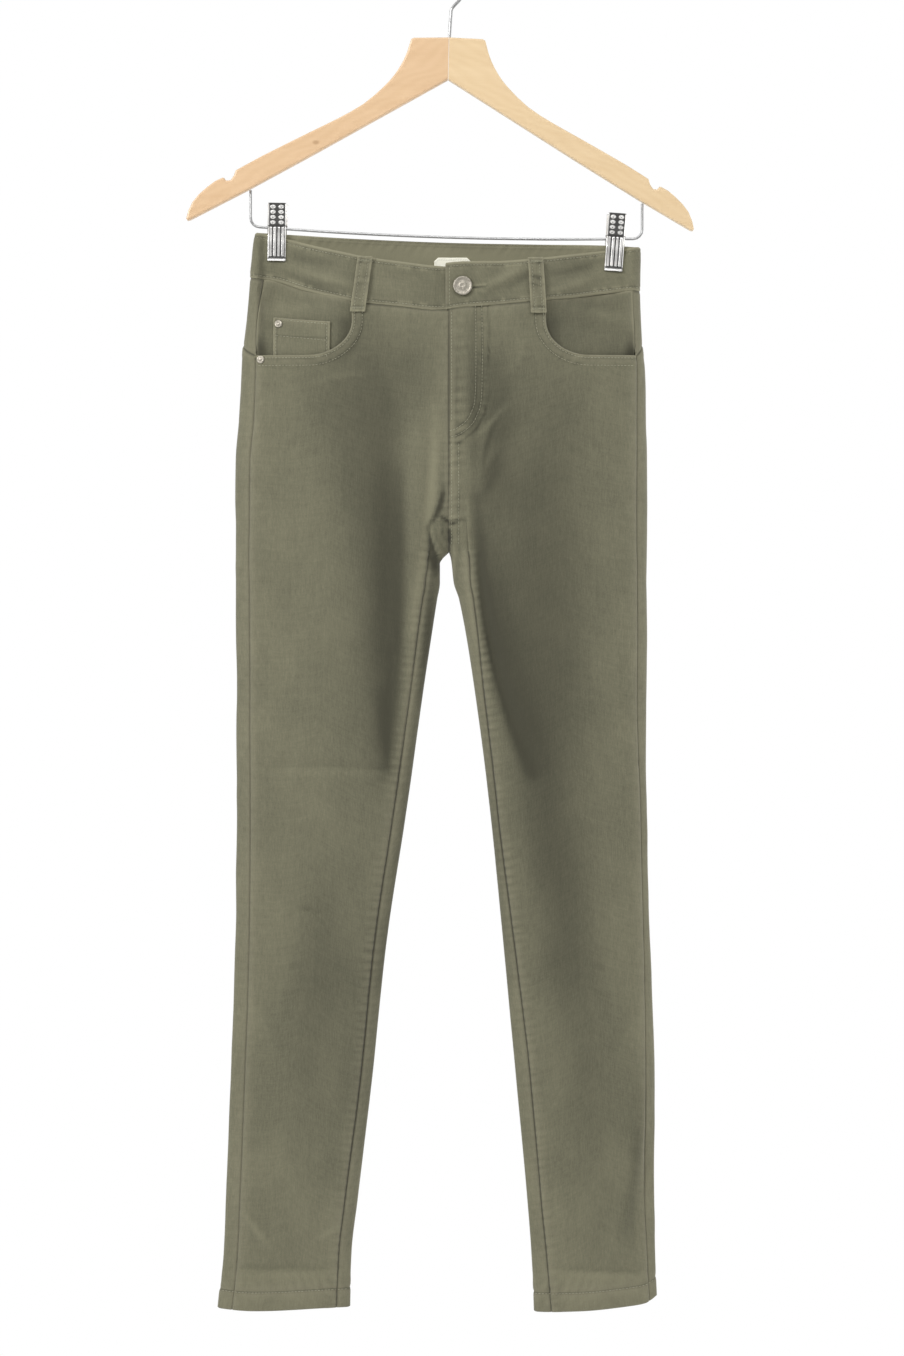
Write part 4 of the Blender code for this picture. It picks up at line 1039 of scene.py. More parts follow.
def band_stations():
    """(side, angle, table) of each upright of the waistband, from the underlap round."""

    def front_run(side, x_from, x_to):
        xs = np.linspace(x_from, x_to, int(abs(x_to - x_from) / BAND_STEP) + 1)[:-1]
        return [(side, float(angle_at(side, x, BAND_LEVEL))) for x in xs]

    def half_run(side, back):
        """From the centre to the outer edge."""
        clip = CLIPS[(side + 1) // 2]
        outer = side * (clip.across + PINCH_FLAT)
        run = front_run(side, 0, outer)
        last = float(angle_at(side, outer, BAND_LEVEL))
        run += [(side, last + (np.pi - last) * i / BAND_TURN) for i in range(BAND_TURN)]
        return [(s, 2 * np.pi - angle) for s, angle in run] if back else run

    runs = (
        (BAND_UNDER, front_run(RIGHT, UNDERLAP_END, 0) + half_run(LEFT, False)),
        (BAND_BACK, [(LEFT, np.pi), *half_run(LEFT, True)[:0:-1], *half_run(RIGHT, True)]),
        (BAND_OVER, [(RIGHT, np.pi), *half_run(RIGHT, False)[::-1],
                     (LEFT, float(angle_at(LEFT, TAB_END, BAND_LEVEL)))]),
    )
    return [(*station, table) for table, run in runs for station in run]


def band_lift(x, table):
    """The tab rides over the underlap, which sinks behind it."""
    if table is BAND_UNDER:
        return BAND_LIFT - UNDERLAP_SINK * ease(-16 * MM, -4 * MM, x)
    if table is BAND_OVER:
        return BAND_LIFT + TAB_LIFT * (1 - ease(UNDERLAP_END + MM, UNDERLAP_END + 18 * MM, x))
    return BAND_LIFT + 0 * x


# The folds that the clips' pull draws across the waistband.
BAND_DRAGS = (
    Fold(-141, 266, -84, 286, -2, 4, 1.2),
    Fold(-141, 275, -92, 293, -2, 4, -1.0),
    Fold(-138, 259, -96, 268, -1, 4, -0.8),
    Fold(-68, 286, -20, 292, 0, 6, 0.5),
    Fold(134, 274, 80, 293, 2, 4, 1.1),
    Fold(132, 264, 88, 276, 2, 4, -0.9),
    Fold(26, 292, 70, 268, 1, 4, 1.1),
    Fold(50, 290, 74, 276, 1, 4, -0.9),
)
BAND_ROWS = 26
BAND_EDGES = 0.45  # how much finer its rows are along its two edges
BAND_STITCH = 2.6 * MM  # from each edge of the band to its row of stitches
BUTTONHOLE = (20 * MM, 33.5 * MM)  # its two ends, across
BUTTONHOLE_DROP = 288.5 * MM


def waistband(look):
    """The folded band with its two stitched rows, padded between them."""
    share = (1 - np.cos(np.linspace(0, np.pi, BAND_ROWS + 1))) / 2
    share = BAND_EDGES * share + (1 - BAND_EDGES) * np.linspace(0, 1, BAND_ROWS + 1)
    uprights = []
    for side, angle, table in band_stations():
        edge_x = cloth(side, angle, BAND_MIDDLE)[0]
        top, seam = table.at("top", edge_x), table.at("seam", edge_x) - BAND_GAP
        point, normal = skin(side, np.full(len(share), angle), top + (seam - top) * share)
        uprights.append((point, normal, band_lift(point[:, 0], table)))
    points, normals, lifts = (np.stack(values, axis=1) for values in zip(*uprights))
    grid = Grid(points, normals, lifts, BAND_CLOTH)
    along, down = grid.uv[..., 0], grid.uv[..., 1]
    foot, end = down[-1:] - down, along[:, -1:] - along
    edge = np.minimum(down, foot)
    rows = bump(edge, BAND_STITCH, 1.1 * MM) + bump(end, BAND_STITCH, 1.1 * MM)
    relief = -0.35 * rows + 0.35 * ease(BAND_STITCH, 10 * MM, edge)
    near = bump(edge, BAND_STITCH + MM, 4.5 * MM)
    relief += 0.22 * near * ripple((along + 0.35 * down) / MM, 8.5, 31)
    relief += 0.18 * near * ripple((along - 0.2 * foot) / MM, 13.0, 37)
    relief += 0.55 * noise(along / 46 / MM, down / 30 / MM, 33)
    relief += 0.22 * noise(along / 15 / MM, down / 13 / MM, 35)
    relief -= 0.5 * (1 - ease(0, 1.4 * MM, edge))
    x, drop = points[..., 0], -points[..., 2]
    front = (points[..., 1] < 0) & (along > 40 * MM)
    drag = fold_push(BAND_DRAGS, x, drop) / MM * front
    held = sum(bump(x, c.side * c.across, 10 * MM) * (drop < c.bottom) for c in CLIPS)
    relief = np.clip(relief + drag, -1.1, 1.4) * (1 - 0.9 * np.clip(held, 0, 1))
    hole = front & (x > BUTTONHOLE[0]) & (x < BUTTONHOLE[1]) & (along > 100 * MM)
    slit = drop - BUTTONHOLE_DROP
    grid.lift = lifts + relief * MM - 0.3 * MM * hole * bump(slit, 0, MM)
    grid.fade = np.exp(-np.minimum(edge, end) / (4.5 * MM))
    # Painted shade and highlight: shade in the stitched rows' grooves, a highlight along both
    # edges, the drag folds paler on their ridges and darker in their hollows, and the
    # buttonhole's slit dark with pale lips. It is a little darker overall, with paler spots
    # beside the rows.
    crease = 0.5 * bump(edge, BAND_STITCH, 0.8 * MM) - 1.1 * bump(edge, 0, MM) + 0.15
    crease = crease - 0.4 * drag - 0.7 * near * (noise(along / 4 / MM, 0, 39) > 0.5) * (
        bump(edge, BAND_STITCH + MM, 1.5 * MM))
    crease += hole * (bump(slit, 0, MM) - 0.6 * bump(np.abs(slit), 2 * MM, MM))
    grid.crease = np.clip(crease, PALEST, DARKEST)
    # Painted light: the band's inner face is painted palest, with painted shade along its
    # stitched row.
    grid.inside = PALEST + 0.8 * bump(down, BAND_STITCH, 0.9 * MM)
    return wall("cloth_waistband", look, grid, grid.cells(True), round_edge=0.45)


def facing(side, name, look):
    """The cloth behind a pocket mouth: from under the panel's edge to the side seam."""
    leg = LEGS[side]
    start, foot = MOUTH_ACROSS - FACING_UNDER, MOUTH_DROP + FACING_BELOW

    def place(u, v):
        x = side * (start + 80 * MM * u)
        for _ in range(ROUNDS):
            top = waist_seam(side, x, False) + FACING_TOP
            drop = top + (foot - top) * v
            out = leg.at("outer", drop) - leg.at("outseam", drop) - FACING_SIDE
            x = side * (start + (out - start) * u)
        return x, drop

    def relief(u, v, away):
        wave = 0.3 * noise(u * 3.1, v * 2.3, 41 + side)
        ridge = 0.8 * bump(v - 0.3 * u, 0.02, 0.09) - 0.6 * bump(v - 0.3 * u, 0.2, 0.08)
        return (wave + ridge * bump(u, 0.6, 0.3)) * MM

    def tone(u, v):
        # Painted shade: under the panel's edge near the mouth, towards its foot, in the corner
        # by the side seam, and a little over all of it, more on the right facing. The ridge has
        # a painted highlight.
        under = 0.8 * bump(u, 0.2, 0.1) * ease(0.12, 0.3, v) + 0.5 * bump(v, 0.78, 0.12)
        corner = 0.8 * bump(u, 0.97, 0.05) * bump(v, 0.68, 0.14)
        ridge = bump(v - 0.3 * u, 0.02, 0.06) * bump(u, 0.75, 0.2)
        return 0.2 + 0.2 * (side == RIGHT) + 0.7 * under + corner - 0.25 * ridge

    return patch(f"cloth_facing_{name}", look, 60, 50, place, over=facing_depth(side),
                 relief=relief, seed=side, tone=tone)


def facing_depth(side):
    """How far out the facing's inner face lies: behind the panel and the coin pocket, and
    out level with the cloth across the side seam."""
    rest = -FACING_FACE - POCKET_CLOTH

    def over(u, v):
        sunk = ease(0, 0.12, u) * ease(1, 0.88, u) * ease(0, 0.14, v) * ease(1, 0.86, v)
        flush = ease(0.84, 0.99, u) * (1 - ease(0.6, 0.7, v)) * (FACING_FACE - 0.1 * MM)
        return rest - FACING_SINK * sunk * (side == LEFT) + flush

    return over


def coin_pocket(look):
    """The small patch pocket on the left facing, its foot tucked behind the panel's edge."""
    (left, top_left), (right, top_right) = COIN_TOP

    def place(u, v):
        top = top_left + (top_right - top_left) * u
        return (left + (right - left) * u) * MM, (top + (COIN_FOOT - top) * v) * MM

    def relief(u, v, away):
        return (0.25 * bump(v, 0.0, 0.16) - 0.3 * bump(v, 0.18, 0.03)) * MM

    def tone(u, v):
        # Painted shade in the grooves of its stitched rows, and towards its foot, under the
        # panel's edge.
        rows = bump(u, 0.06, 0.018) + bump(u, 0.94, 0.018) + bump(v, 0.37, 0.02)
        return 0.5 * rows + 0.4 * ease(0.55, 0.9, v)

    return patch("cloth_coin_pocket", look, 44, 36, place, over=-COIN_FACE - POCKET_CLOTH,
                 relief=relief, seed=3, tone=tone)


def box_place(corners):
    """Turns the shares across and down into places in an upright rectangle."""
    (left, top), (right, foot) = corners
    return lambda u, v: ((left + (right - left) * u) * MM, (top + (foot - top) * v) * MM)


def fly_placket(look):
    """The shield behind the fly."""
    return patch("cloth_fly_placket", look, 18, 50, box_place(PLACKET),
                 over=-CLOTH - LAY_GAP - POCKET_CLOTH)


def back_pocket(side, name, look):
    """A patch pocket with a slanted top, a stitched hem and a shallow point."""

    def relief(u, v, away):
        rim = -0.25 * bump(away, 2.2 * MM, 0.9 * MM) - 0.2 * bump(away, 8.6 * MM, 0.9 * MM)
        hem = 0.3 * (1 - ease(0.1, 0.14, v)) - 0.25 * bump(v, 0.13, 0.01)
        wave = 0.2 * bump(away, 5 * MM, 5 * MM) * ripple((u + v) * 110, 9.0, 51 + side)
        return (rim + hem + wave + 0.35 * noise(u * 2.7, v * 2.9, 53 + side)) * MM

    return patch(f"cloth_back_pocket_{name}", look, 84, 84,
                 lambda u, v: pocket_place(side, u, v), back=True, relief=relief, seed=5 + side)


def pocket_place(side, u, v):
    """Where a share across and down a back pocket is."""

    def edge(corners):
        (near, near_drop), (far, far_drop) = corners
        return near + (far - near) * u, near_drop + (far_drop - near_drop) * u

    top_x, top = edge(BACK_POCKET_TOP)
    foot_x, foot = edge(BACK_POCKET_FOOT)
    foot = foot + BACK_POCKET_POINT * (1 - np.abs(2 * u - 1))
    return side * (top_x + (foot_x - top_x) * v) * MM, (top + (foot - top) * v) * MM


# The belt loops. Widths and places are in millimetres, rows and tacks in shares of a loop.
LOOP_WIDTH = 12.3
LOOP_CLOTH = 1.6 * MM
LOOP_RISE = 1.3 * MM  # how far its middle stands off the band
Loop = namedtuple("Loop", "name x_top top x_foot foot back")
LOOPS = (
    Loop("front_left", -73.1, 261.5, -79.7, 309, False),
    Loop("front_right", 75.3, 262.3, 78.2, 310, False),
    Loop("back_left", -96, 243.9, -97, 293, True),
    Loop("back_centre", 0, 247.8, 0, 297.5, True),
    Loop("back_right", 96, 249.7, 97, 299, True),
)
LOOP_ROWS = (0.24, 0.76)  # its two rows of stitches, across
LOOP_TACKS = (0.055, 0.93)  # its two bar tacks, down
# The loop's creases are painted as lines of shade, not shaped.
LOOP_CREASES = (0.1, 0.36, 0.5, 0.9)  # where it is creased, down


def loop_place(loop, u, v):
    """Where a share across and down a belt loop is."""
    x = loop.x_top + (loop.x_foot - loop.x_top) * v
    return (x + LOOP_WIDTH * (u - 0.5)) * MM, (loop.top + (loop.foot - loop.top) * v) * MM


def belt_loop(loop, look):
    """A flat loop, tacked down at both ends and standing a little off the band between."""

    def over(u, v):
        return BAND_LIFT + LAY_GAP + LOOP_RISE * np.sin(np.pi * v)

    def relief(u, v, away):
        rows = sum(bump(u, row, 0.07) for row in LOOP_ROWS)
        tacks = sum(bump(v, tack, 0.035) for tack in LOOP_TACKS)
        ends = 0.35 * bump(v, 0.0, 0.05) + 0.5 * bump(v, 1.0, 0.05)
        lump = 0.3 * noise(u * 2, v * 5 + loop.x_top, 61) * (1 + bump(v, 0.12, 0.1))
        return (0.3 * (1 - rows) * (1 - tacks) - 0.35 * tacks + ends + lump) * MM

    def tone(u, v):
        # Painted shade: dark lines where the loop is creased and along its stitched rows, over
        # random tone.
        folds = sum(bump(v + 0.03 * noise(u * 3, v * 9 + loop.x_top, 63), at, 0.022)
                    for at in LOOP_CREASES)
        rows = sum(bump(u, row, 0.05) for row in LOOP_ROWS)
        return 0.55 * folds + 0.3 * rows + 0.3 * noise(u * 3, v * 7 + loop.x_top, 65)

    return patch(f"cloth_loop_{loop.name}", look, 16, 48,
                 lambda u, v: loop_place(loop, u, v), loop.back, over, LOOP_CLOTH, relief,
                 tone=tone)


def label(look):
    """The bare woven label inside the back of the waistband, its top corners cut off."""
    (left, top), (right, foot) = LABEL
    middle, half = (left + right) / 2, (right - left) / 2

    def place(u, v):
        across = 2 * u - 1
        start = top + LABEL_TRIM * np.maximum(np.abs(across) - 0.8, 0) / 0.2
        return (middle + half * across) * MM, (start + (foot - start) * v) * MM

    return patch("cloth_label", look, 48, 40, place, back=True, thickness=LABEL_CLOTH,
                 over=BAND_LIFT - BAND_CLOTH - BAND_GAP - LABEL_CLOTH)


# --- Stitches -----------------------------------------------------------------------------

STITCH = 2.9 * MM  # from one stitch to the next
STITCH_LENGTH = 2.35 * MM
THREAD = 0.24 * MM  # half a thread's width
TACK = (1.1 * MM, 1.5 * MM)  # the pitch and the length of a bar tack's stitches
SHOT_FROM = 0.2  # how far in front of the jeans the rays start that find the cloth

# A stitch in its own lengths: how far along it each ring is, its half width and its rise.
STITCH_RINGS = ((-0.42, 0.75, -0.2), (-0.2, 1.0, 0.35), (0.2, 1.0, 0.35), (0.42, 0.75, -0.2))
STITCH_SIDES = 5


def stitch_solid():
    """A single stitch: (along, side, out) of each point, and its faces."""
    points, faces = [(-0.5, 0.0, -0.6)], []
    for along, width, rise_share in STITCH_RINGS:
        for i in range(STITCH_SIDES):
            turn = 2 * math.pi * i / STITCH_SIDES
            points.append((along, width * math.cos(turn), rise_share + width * math.sin(turn)))
    points.append((0.5, 0.0, -0.6))
    last = len(points) - 1
    for i in range(STITCH_SIDES):
        j = (i + 1) % STITCH_SIDES
        faces.append((0, 1 + j, 1 + i, 1 + i))
        for ring in range(len(STITCH_RINGS) - 1):
            a = 1 + ring * STITCH_SIDES
            faces.append((a + i, a + j, a + STITCH_SIDES + j, a + STITCH_SIDES + i))
        faces.append((last, last - STITCH_SIDES + i, last - STITCH_SIDES + j,
                      last - STITCH_SIDES + j))
    return np.array(points), faces


class Thread:
    """Rows of stitches laid on the cloth that shows, gathered into one piece."""

    def __init__(self, cloth_pieces):
        points, faces, start = [], [], 0
        for piece in cloth_pieces:
            place = np.empty(len(piece.data.vertices) * 3)
            piece.data.vertices.foreach_get("co", place)
            points += place.reshape(-1, 3).tolist()
            faces += [[start + v for v in face.vertices] for face in piece.data.polygons]
            start = len(points)
        self.surface = BVHTree.FromPolygons(points, faces)
        self.stitches = []

    def land(self, x, drop, back):
        """Where a place seen from the front or the back meets the cloth, and its normal."""
        way = -1 if back else 1
        start = Vector((x, -way * SHOT_FROM, -drop))
        point, normal, _, _ = self.surface.ray_cast(start, Vector((0, way, 0)), 0.5)
        if point is None:
            return None
        if normal.y * way > 0:
            normal = -normal
        return np.array(point), np.array(normal)

    def row(self, path, back=False, pitch=STITCH, length=STITCH_LENGTH):
        """Stitches along a path of (x, drop) places, given in metres."""
        path = np.array(path, float)
        travelled = np.concatenate([[0], np.cumsum(np.linalg.norm(np.diff(path, axis=0),
                                                                  axis=1))])
        count = max(int(travelled[-1] / pitch), 1)
        for middle in (np.arange(count) + 0.5) * travelled[-1] / count:
            ends = []
            for where in (middle - length / 2, middle + length / 2):
                x, drop = (np.interp(where, travelled, path[:, k]) for k in (0, 1))
                ends.append(self.land(x, drop, back))
            if None in ends:
                continue
            (a, normal_a), (b, normal_b) = ends
            if np.linalg.norm(b - a) < 1.8 * length:
                self.stitches.append((a, b, normal_a + normal_b))

    def upright(self, x, drops, cells=60, back=False):
        """A straight row down the garment, in millimetres."""
        drop = np.linspace(*drops, cells) * MM
        self.row(np.stack([x * MM + 0 * drop, drop], axis=1), back)

    def belt_loop(self, loop):
        """A loop's two rows and its two bar tacks."""
        for u in LOOP_ROWS:
            self.row([loop_place(loop, u, v) for v in np.linspace(0.1, 0.9, 20)], loop.back)
        for v in LOOP_TACKS:
            bar = [loop_place(loop, u, v) for u in np.linspace(0.06, 0.94, 8)]
            for away in np.arange(-1, 2) * 0.5 * MM:
                self.row(offset_path(bar, away), loop.back, *TACK)

    def hem(self, side, back):
        """The row that holds a hem up."""
        x = np.linspace(side * 60 * MM, side * 205 * MM, 120)
        self.row(np.stack([x, HEM.at("drop", x) - HEM_HEIGHT + HEM_ROW], axis=1), back)

    def made(self, name, look):
        """All the stitches as one object."""
        solid, faces = stitch_solid()
        a, b, normal = (np.array(values) for values in zip(*self.stitches))
        along = b - a
        side = np.cross(normal, along)
        side /= np.linalg.norm(side, axis=1, keepdims=True)
        out = np.cross(along, side)
        out /= np.linalg.norm(out, axis=1, keepdims=True)
        points = ((a + b) / 2)[:, None] + along[:, None] * solid[None, :, :1] + THREAD * (
            side[:, None] * solid[None, :, 1:2] + out[:, None] * solid[None, :, 2:])
        count = len(solid)
        solids = [[k * count + v for v in dict.fromkeys(face)]
                  for k in range(len(a)) for face in faces]
        mesh = bpy.data.meshes.new(name)
        mesh.from_pydata(points.reshape(-1, 3).tolist(), [], solids)
        uv = np.stack([np.tile(solid[:, 0] * STITCH_LENGTH, len(a)),
                       np.repeat(np.arange(len(a)) * 0.013, count)], axis=1)
        mark(mesh, uv)
        return finish_mesh(name, mesh, look)


def offset_path(path, away):
    """A path of (x, drop) moved sideways, to its right as it runs, as the front is seen."""
    path = np.array(path, float)
    run = np.gradient(path, axis=0)
    run /= np.linalg.norm(run, axis=1, keepdims=True)
    return path + away * np.stack([-run[:, 1], run[:, 0]], axis=1)


def mouth_path(side, away):
    """The pocket mouth's edge, moved into the panel: down, round the corner and outwards."""
    t = np.linspace(0, 1, 60)
    down, swing = pocket_share(t)
    x = side * (MOUTH_ACROSS + MOUTH_CORNER * swing)
    seam = waist_seam(side, x, False)
    path = np.stack([x, seam + (MOUTH_DROP - seam) * down], axis=1)
    leg = LEGS[side]
    out = leg.at("outer", MOUTH_DROP) - leg.at("outseam", MOUTH_DROP) - 2 * MM
    path = np.concatenate([path, [[side * out, MOUTH_DROP]]])
    dense = [path[0]]
    for a, b in zip(path, path[1:]):
        cells = max(int(np.linalg.norm(b - a) / MM), 1)
        dense += [a + (b - a) * i / cells for i in range(1, cells + 1)]
    return offset_path(dense, side * away)


def through(points, cells):
    """Even points on a smooth curve through the ones given."""
    points = np.array(points, float)
    ends = np.vstack([2 * points[0] - points[1], points, 2 * points[-1] - points[-2]])
    found = []
    for a, b, c, d in zip(ends, ends[1:], ends[2:], ends[3:]):
        for t in np.arange(cells) / cells:
            found.append(
                0.5 * (2 * b + (c - a) * t + (2 * a - 5 * b + 4 * c - d) * t**2
                       + (3 * b - a - 3 * c + d) * t**3)
            )
    return found + [points[-1]]


def band_row(table, edge, away, x_from, x_to):
    """A path that follows the waistband's top or seam, moved down by away."""
    x = np.linspace(x_from, x_to, 80)
    return np.stack([x, table.at(edge, x) + away], axis=1)


BAND_ROW_ENDS = (-172 * MM, 166 * MM)  # how far to each side the band's rows run


def front_stitches(pieces, look):
    """Everything stitched that shows from the front."""
    thread = Thread(pieces)
    starts = ((BAND_UNDER, -4 * MM), (BAND_OVER, 0.0))
    for (table, x_in), x_out in zip(starts, BAND_ROW_ENDS):
        for edge, away in (("top", BAND_STITCH), ("seam", -BAND_STITCH)):
            thread.row(band_row(table, edge, away, x_in, x_out))
    tab = TAB_END + BAND_STITCH
    thread.row([(tab, 270 * MM), (tab, 303.5 * MM)])
    for (side, _), loop in zip(SIDES, LOOPS):
        for away in MOUTH_ROWS:
            thread.row(mouth_path(side, away * MM))
        thread.belt_loop(loop)
        thread.hem(side, False)
    j_path = np.array(through(J_STITCH, 8)) * MM
    for away in FRONT_ROWS[RIGHT][0][1]:
        thread.row(offset_path(j_path, away * MM))
    thread.upright(EDGE_ROW, FLY_ROW)
    for x in (EDGE_ROW, 8.4):
        thread.upright(x, CROTCH_THREADS)
    (left, top_left), (right, top_right) = COIN_TOP
    for away in (2.0, 16.5):
        thread.row(np.array([(left + 2, top_left + away), (right - 2, top_right + away)]) * MM)
    for x in (left + EDGE_ROW, right - EDGE_ROW):
        thread.row(np.array([(x, 318.5), (x, 349)]) * MM)
    return thread.made("thread_front", look)


def back_stitches(pieces, look):
    """Everything stitched that shows from the back."""
    thread = Thread(pieces)
    for edge, away in (("top", BAND_STITCH), ("seam", -BAND_STITCH)):
        thread.row(band_row(BAND_BACK, edge, away, *BAND_ROW_ENDS), back=True)
    for side, _ in SIDES:
        outer = {LEFT: 168, RIGHT: 160}[side] * MM
        x = np.linspace(side * 3 * MM, side * outer, 100)
        for away in (2.0, 8.0):
            thread.row(np.stack([x, yoke_drop(side, x) + away * MM], axis=1), back=True)
        for near in (0.022, 0.078):
            rim = [(near, v) for v in np.linspace(0.14, 1 - near, 40)]
            rim += [(t, 1 - near) for t in np.linspace(near, 1 - near, 60)]
            rim += [(1 - near, v) for v in np.linspace(1 - near, 0.14, 40)]
            thread.row([pocket_place(side, *spot) for spot in rim], back=True)
        hem = 0.03 + 0.94 * np.linspace(0, 1, 60)
        thread.row([pocket_place(side, t, 0.13) for t in hem], back=True)
        thread.hem(side, True)
    for loop in LOOPS[2:]:
        thread.belt_loop(loop)
    for x in (EDGE_ROW, 8.2):
        thread.upright(x, (302, 510), 120, back=True)
    return thread.made("thread_back", look)


# --- Wood and metal -----------------------------------------------------------------------


def start_piece(adder, **values):
    """Adds a primitive with nothing else selected, and stays in edit mode."""
    if bpy.context.object and bpy.context.object.mode != "OBJECT":
        bpy.ops.object.mode_set(mode="OBJECT")
    bpy.ops.object.select_all(action="DESELECT")
    adder(**values)
    bpy.ops.object.mode_set(mode="EDIT")
    return bpy.context.object


def pick(test):
    """Selects the points of the piece in edit mode whose place passes the test."""
    bpy.ops.mesh.select_mode(type="VERT")
    bpy.ops.mesh.select_all(action="DESELECT")
    mesh = bmesh.from_edit_mesh(bpy.context.edit_object.data)
    for point in mesh.verts:
        point.select = bool(test(point.co))
    mesh.select_flush_mode()
    bmesh.update_edit_mesh(bpy.context.edit_object.data)


def end_piece(piece, name, look, place=None):
    """Names a modelled piece, gives it its look and bakes its place into its mesh."""
    if piece.mode != "OBJECT":
        bpy.ops.mesh.select_all(action="SELECT")
        bpy.ops.mesh.normals_make_consistent(inside=False)
        bpy.ops.object.mode_set(mode="OBJECT")
    piece.name = piece.data.name = name
    piece.data.materials.clear()
    piece.data.materials.append(look)
    if place is not None:
        piece.matrix_world = place
    bpy.ops.object.transform_apply(location=True, rotation=True, scale=True)
    bpy.ops.object.shade_smooth_by_angle(angle=HARD_SHARP)
    return piece


def apply_modifier(piece, kind, **settings):
    """Adds a modifier of a kind with its settings, and applies it."""
    modifier = piece.modifiers.new(kind.title(), kind)
    for key, value in settings.items():
        setattr(modifier, key, value)
    bpy.ops.object.modifier_apply(modifier=modifier.name)


def raise_by(piece, heights):
    """Moves each point up by its height, which a Displace modifier carries out."""
    most = float(np.abs(heights).max())
    group = piece.vertex_groups.new(name="height")
    for i, value in enumerate(heights):
        group.add([i], float(value / most * 0.5 + 0.5), "REPLACE")
    apply_modifier(piece, "DISPLACE", vertex_group="height", strength=2 * most, mid_level=0.0,
                   direction="Z")
    bpy.ops.object.mode_set(mode="EDIT")
    bpy.ops.mesh.select_all(action="SELECT")
    bpy.ops.transform.translate(value=(0, 0, -most))
    bpy.ops.object.mode_set(mode="OBJECT")
    piece.vertex_groups.clear()


def turned(name, look, profile, place, sides):
    """A turned piece: a disc extruded up its profile of (radius, height) pairs."""
    (radius, height), *others = profile
    piece = start_piece(bpy.ops.mesh.primitive_circle_add, vertices=sides, radius=radius * MM,
                        fill_type="NGON", location=(0, 0, height * MM))
    for new_radius, new_height in others:
        bpy.ops.mesh.extrude_region_move(
            TRANSFORM_OT_translate={"value": (0, 0, (new_height - height) * MM)})
        share = new_radius / radius
        bpy.ops.transform.resize(value=(share, share, 1))
        radius, height = new_radius, new_height
    return end_piece(piece, name, look, place)


def on_front(x, drop, over):
    """Where a small piece stands on the front, its +Z along the cloth's normal."""
    point, normal = face_skin(x * MM, drop * MM)
    point, normal = Vector(point), Vector(normal)
    turn = Vector((0, 0, 1)).rotation_difference(normal).to_matrix().to_4x4()
    return Matrix.Translation(point + normal * over) @ turn


# The profiles of the turned pieces: their (radius, height) pairs, upwards and then inwards.
BUTTON = ((4.8, 0), (6.9, 0.35), (8.0, 0.9), (8.35, 1.5), (8.3, 2.0), (8.0, 2.4), (7.6, 2.62),
          (7.1, 2.6), (6.75, 2.42), (6.45, 2.15), (6.1, 2.05), (4.6, 2.0), (3.7, 2.02),
          (3.3, 2.15), (3.05, 2.45), (2.75, 2.65), (2.3, 2.75), (1.5, 2.66), (1.1, 2.45),
          (0.9, 2.4), (0.2, 2.38))
RIVET = ((2.9, 0), (3.3, 0.15), (3.45, 0.45), (3.3, 0.75), (2.9, 0.98), (2.4, 1.08),
         (2.1, 1.0), (1.85, 0.82), (1.6, 0.8), (1.3, 0.92), (1.0, 1.16), (0.6, 1.26),
         (0.1, 1.28))


def button(look):
    """The button, seated on the waistband's tab."""
    place = on_front(*BUTTON_AT, BAND_LIFT + TAB_LIFT + SEAT)
    return turned("metal_button", look, BUTTON, place, 72)


def rivet(name, look, x, drop, over):
    """A rivet at a corner of a pocket."""
    return turned(f"metal_rivet_{name}", look, RIVET, on_front(x, drop, over), 40)


# A clip's jaw, in millimetres. In section: how far down from its top a place is, and how far
# out its inner face lies there.
JAW = ((0, 8.6), (6, 7.4), (12, 5.9), (17, 4.2), (21, 3.35), (26, 3.3), (32, 3.3), (40, 3.1),
       (45, 2.98), (48.5, 2.98), (50.2, 3.5))
JAW_STEEL = 1.0
JAW_WIDTH = {"front": 15.7, "back": 17.8}
JAW_EDGE, JAW_TURN = 1.2, 0.7  # how wide its long edges are, and how far they turn in
JAW_GRIP = 30  # where the turned edges end
CLIP_LENGTH = 50
JAW_COLUMNS, JAW_ROWS = 56, 150
JAW_ROUNDING = 13  # over how many rows the section's corners are rounded
RIBS = (-5.35, -1.85, 1.65, 5.15)
RIB_FROM, RIB_TO = 20.2, 46.6
RIB_RISE, OVAL_RISE, LIP_RISE = 0.62, 0.5, 0.5
OVALS = ((-3.6, 3.6), (3.4, 7.8, 12.2, 16.6))  # across, and down
OVAL_SIZE, DIMPLE_SIZE = (2.7, 1.75), (0.7, 0.45)
DIMPLE_BELOW = 0.5
LIP_FROM, LIP_TO = 48.0, 48.5
# Painted shade in strips across a jaw, at its ends, its bend and its lip: how far down, how wide
# and how dark.
JAW_SHADE_STRIPS = ((47.3, 0.7, 1), (19.6, 0.5, 1), (0, 0.5, 1), (50.2, 0.7, 0.7), (48.6, 0.8, 0.4))


def jaw_relief(across, down):
    """How far a front jaw's pressed pattern stands out from its plate."""
    ribs = sum(ease(1.4, 0.8, np.abs(across - rib)) for rib in RIBS)
    ribs = ribs * ease(RIB_FROM, RIB_FROM + 1.2, down) * (1 - ease(RIB_TO - 1, RIB_TO, down))
    ovals = 0.0
    for x in OVALS[0]:
        for y in OVALS[1]:
            far = np.hypot((across - x) / OVAL_SIZE[0], (down - y) / OVAL_SIZE[1])
            dimple = np.hypot((across - x) / DIMPLE_SIZE[0],
                              (down - y - DIMPLE_BELOW) / DIMPLE_SIZE[1])
            ovals += ease(1.12, 0.62, far) - 0.8 * ease(1.2, 0.6, dimple)
    return RIB_RISE * ribs + OVAL_RISE * ovals + LIP_RISE * ease(LIP_FROM, LIP_TO, down)


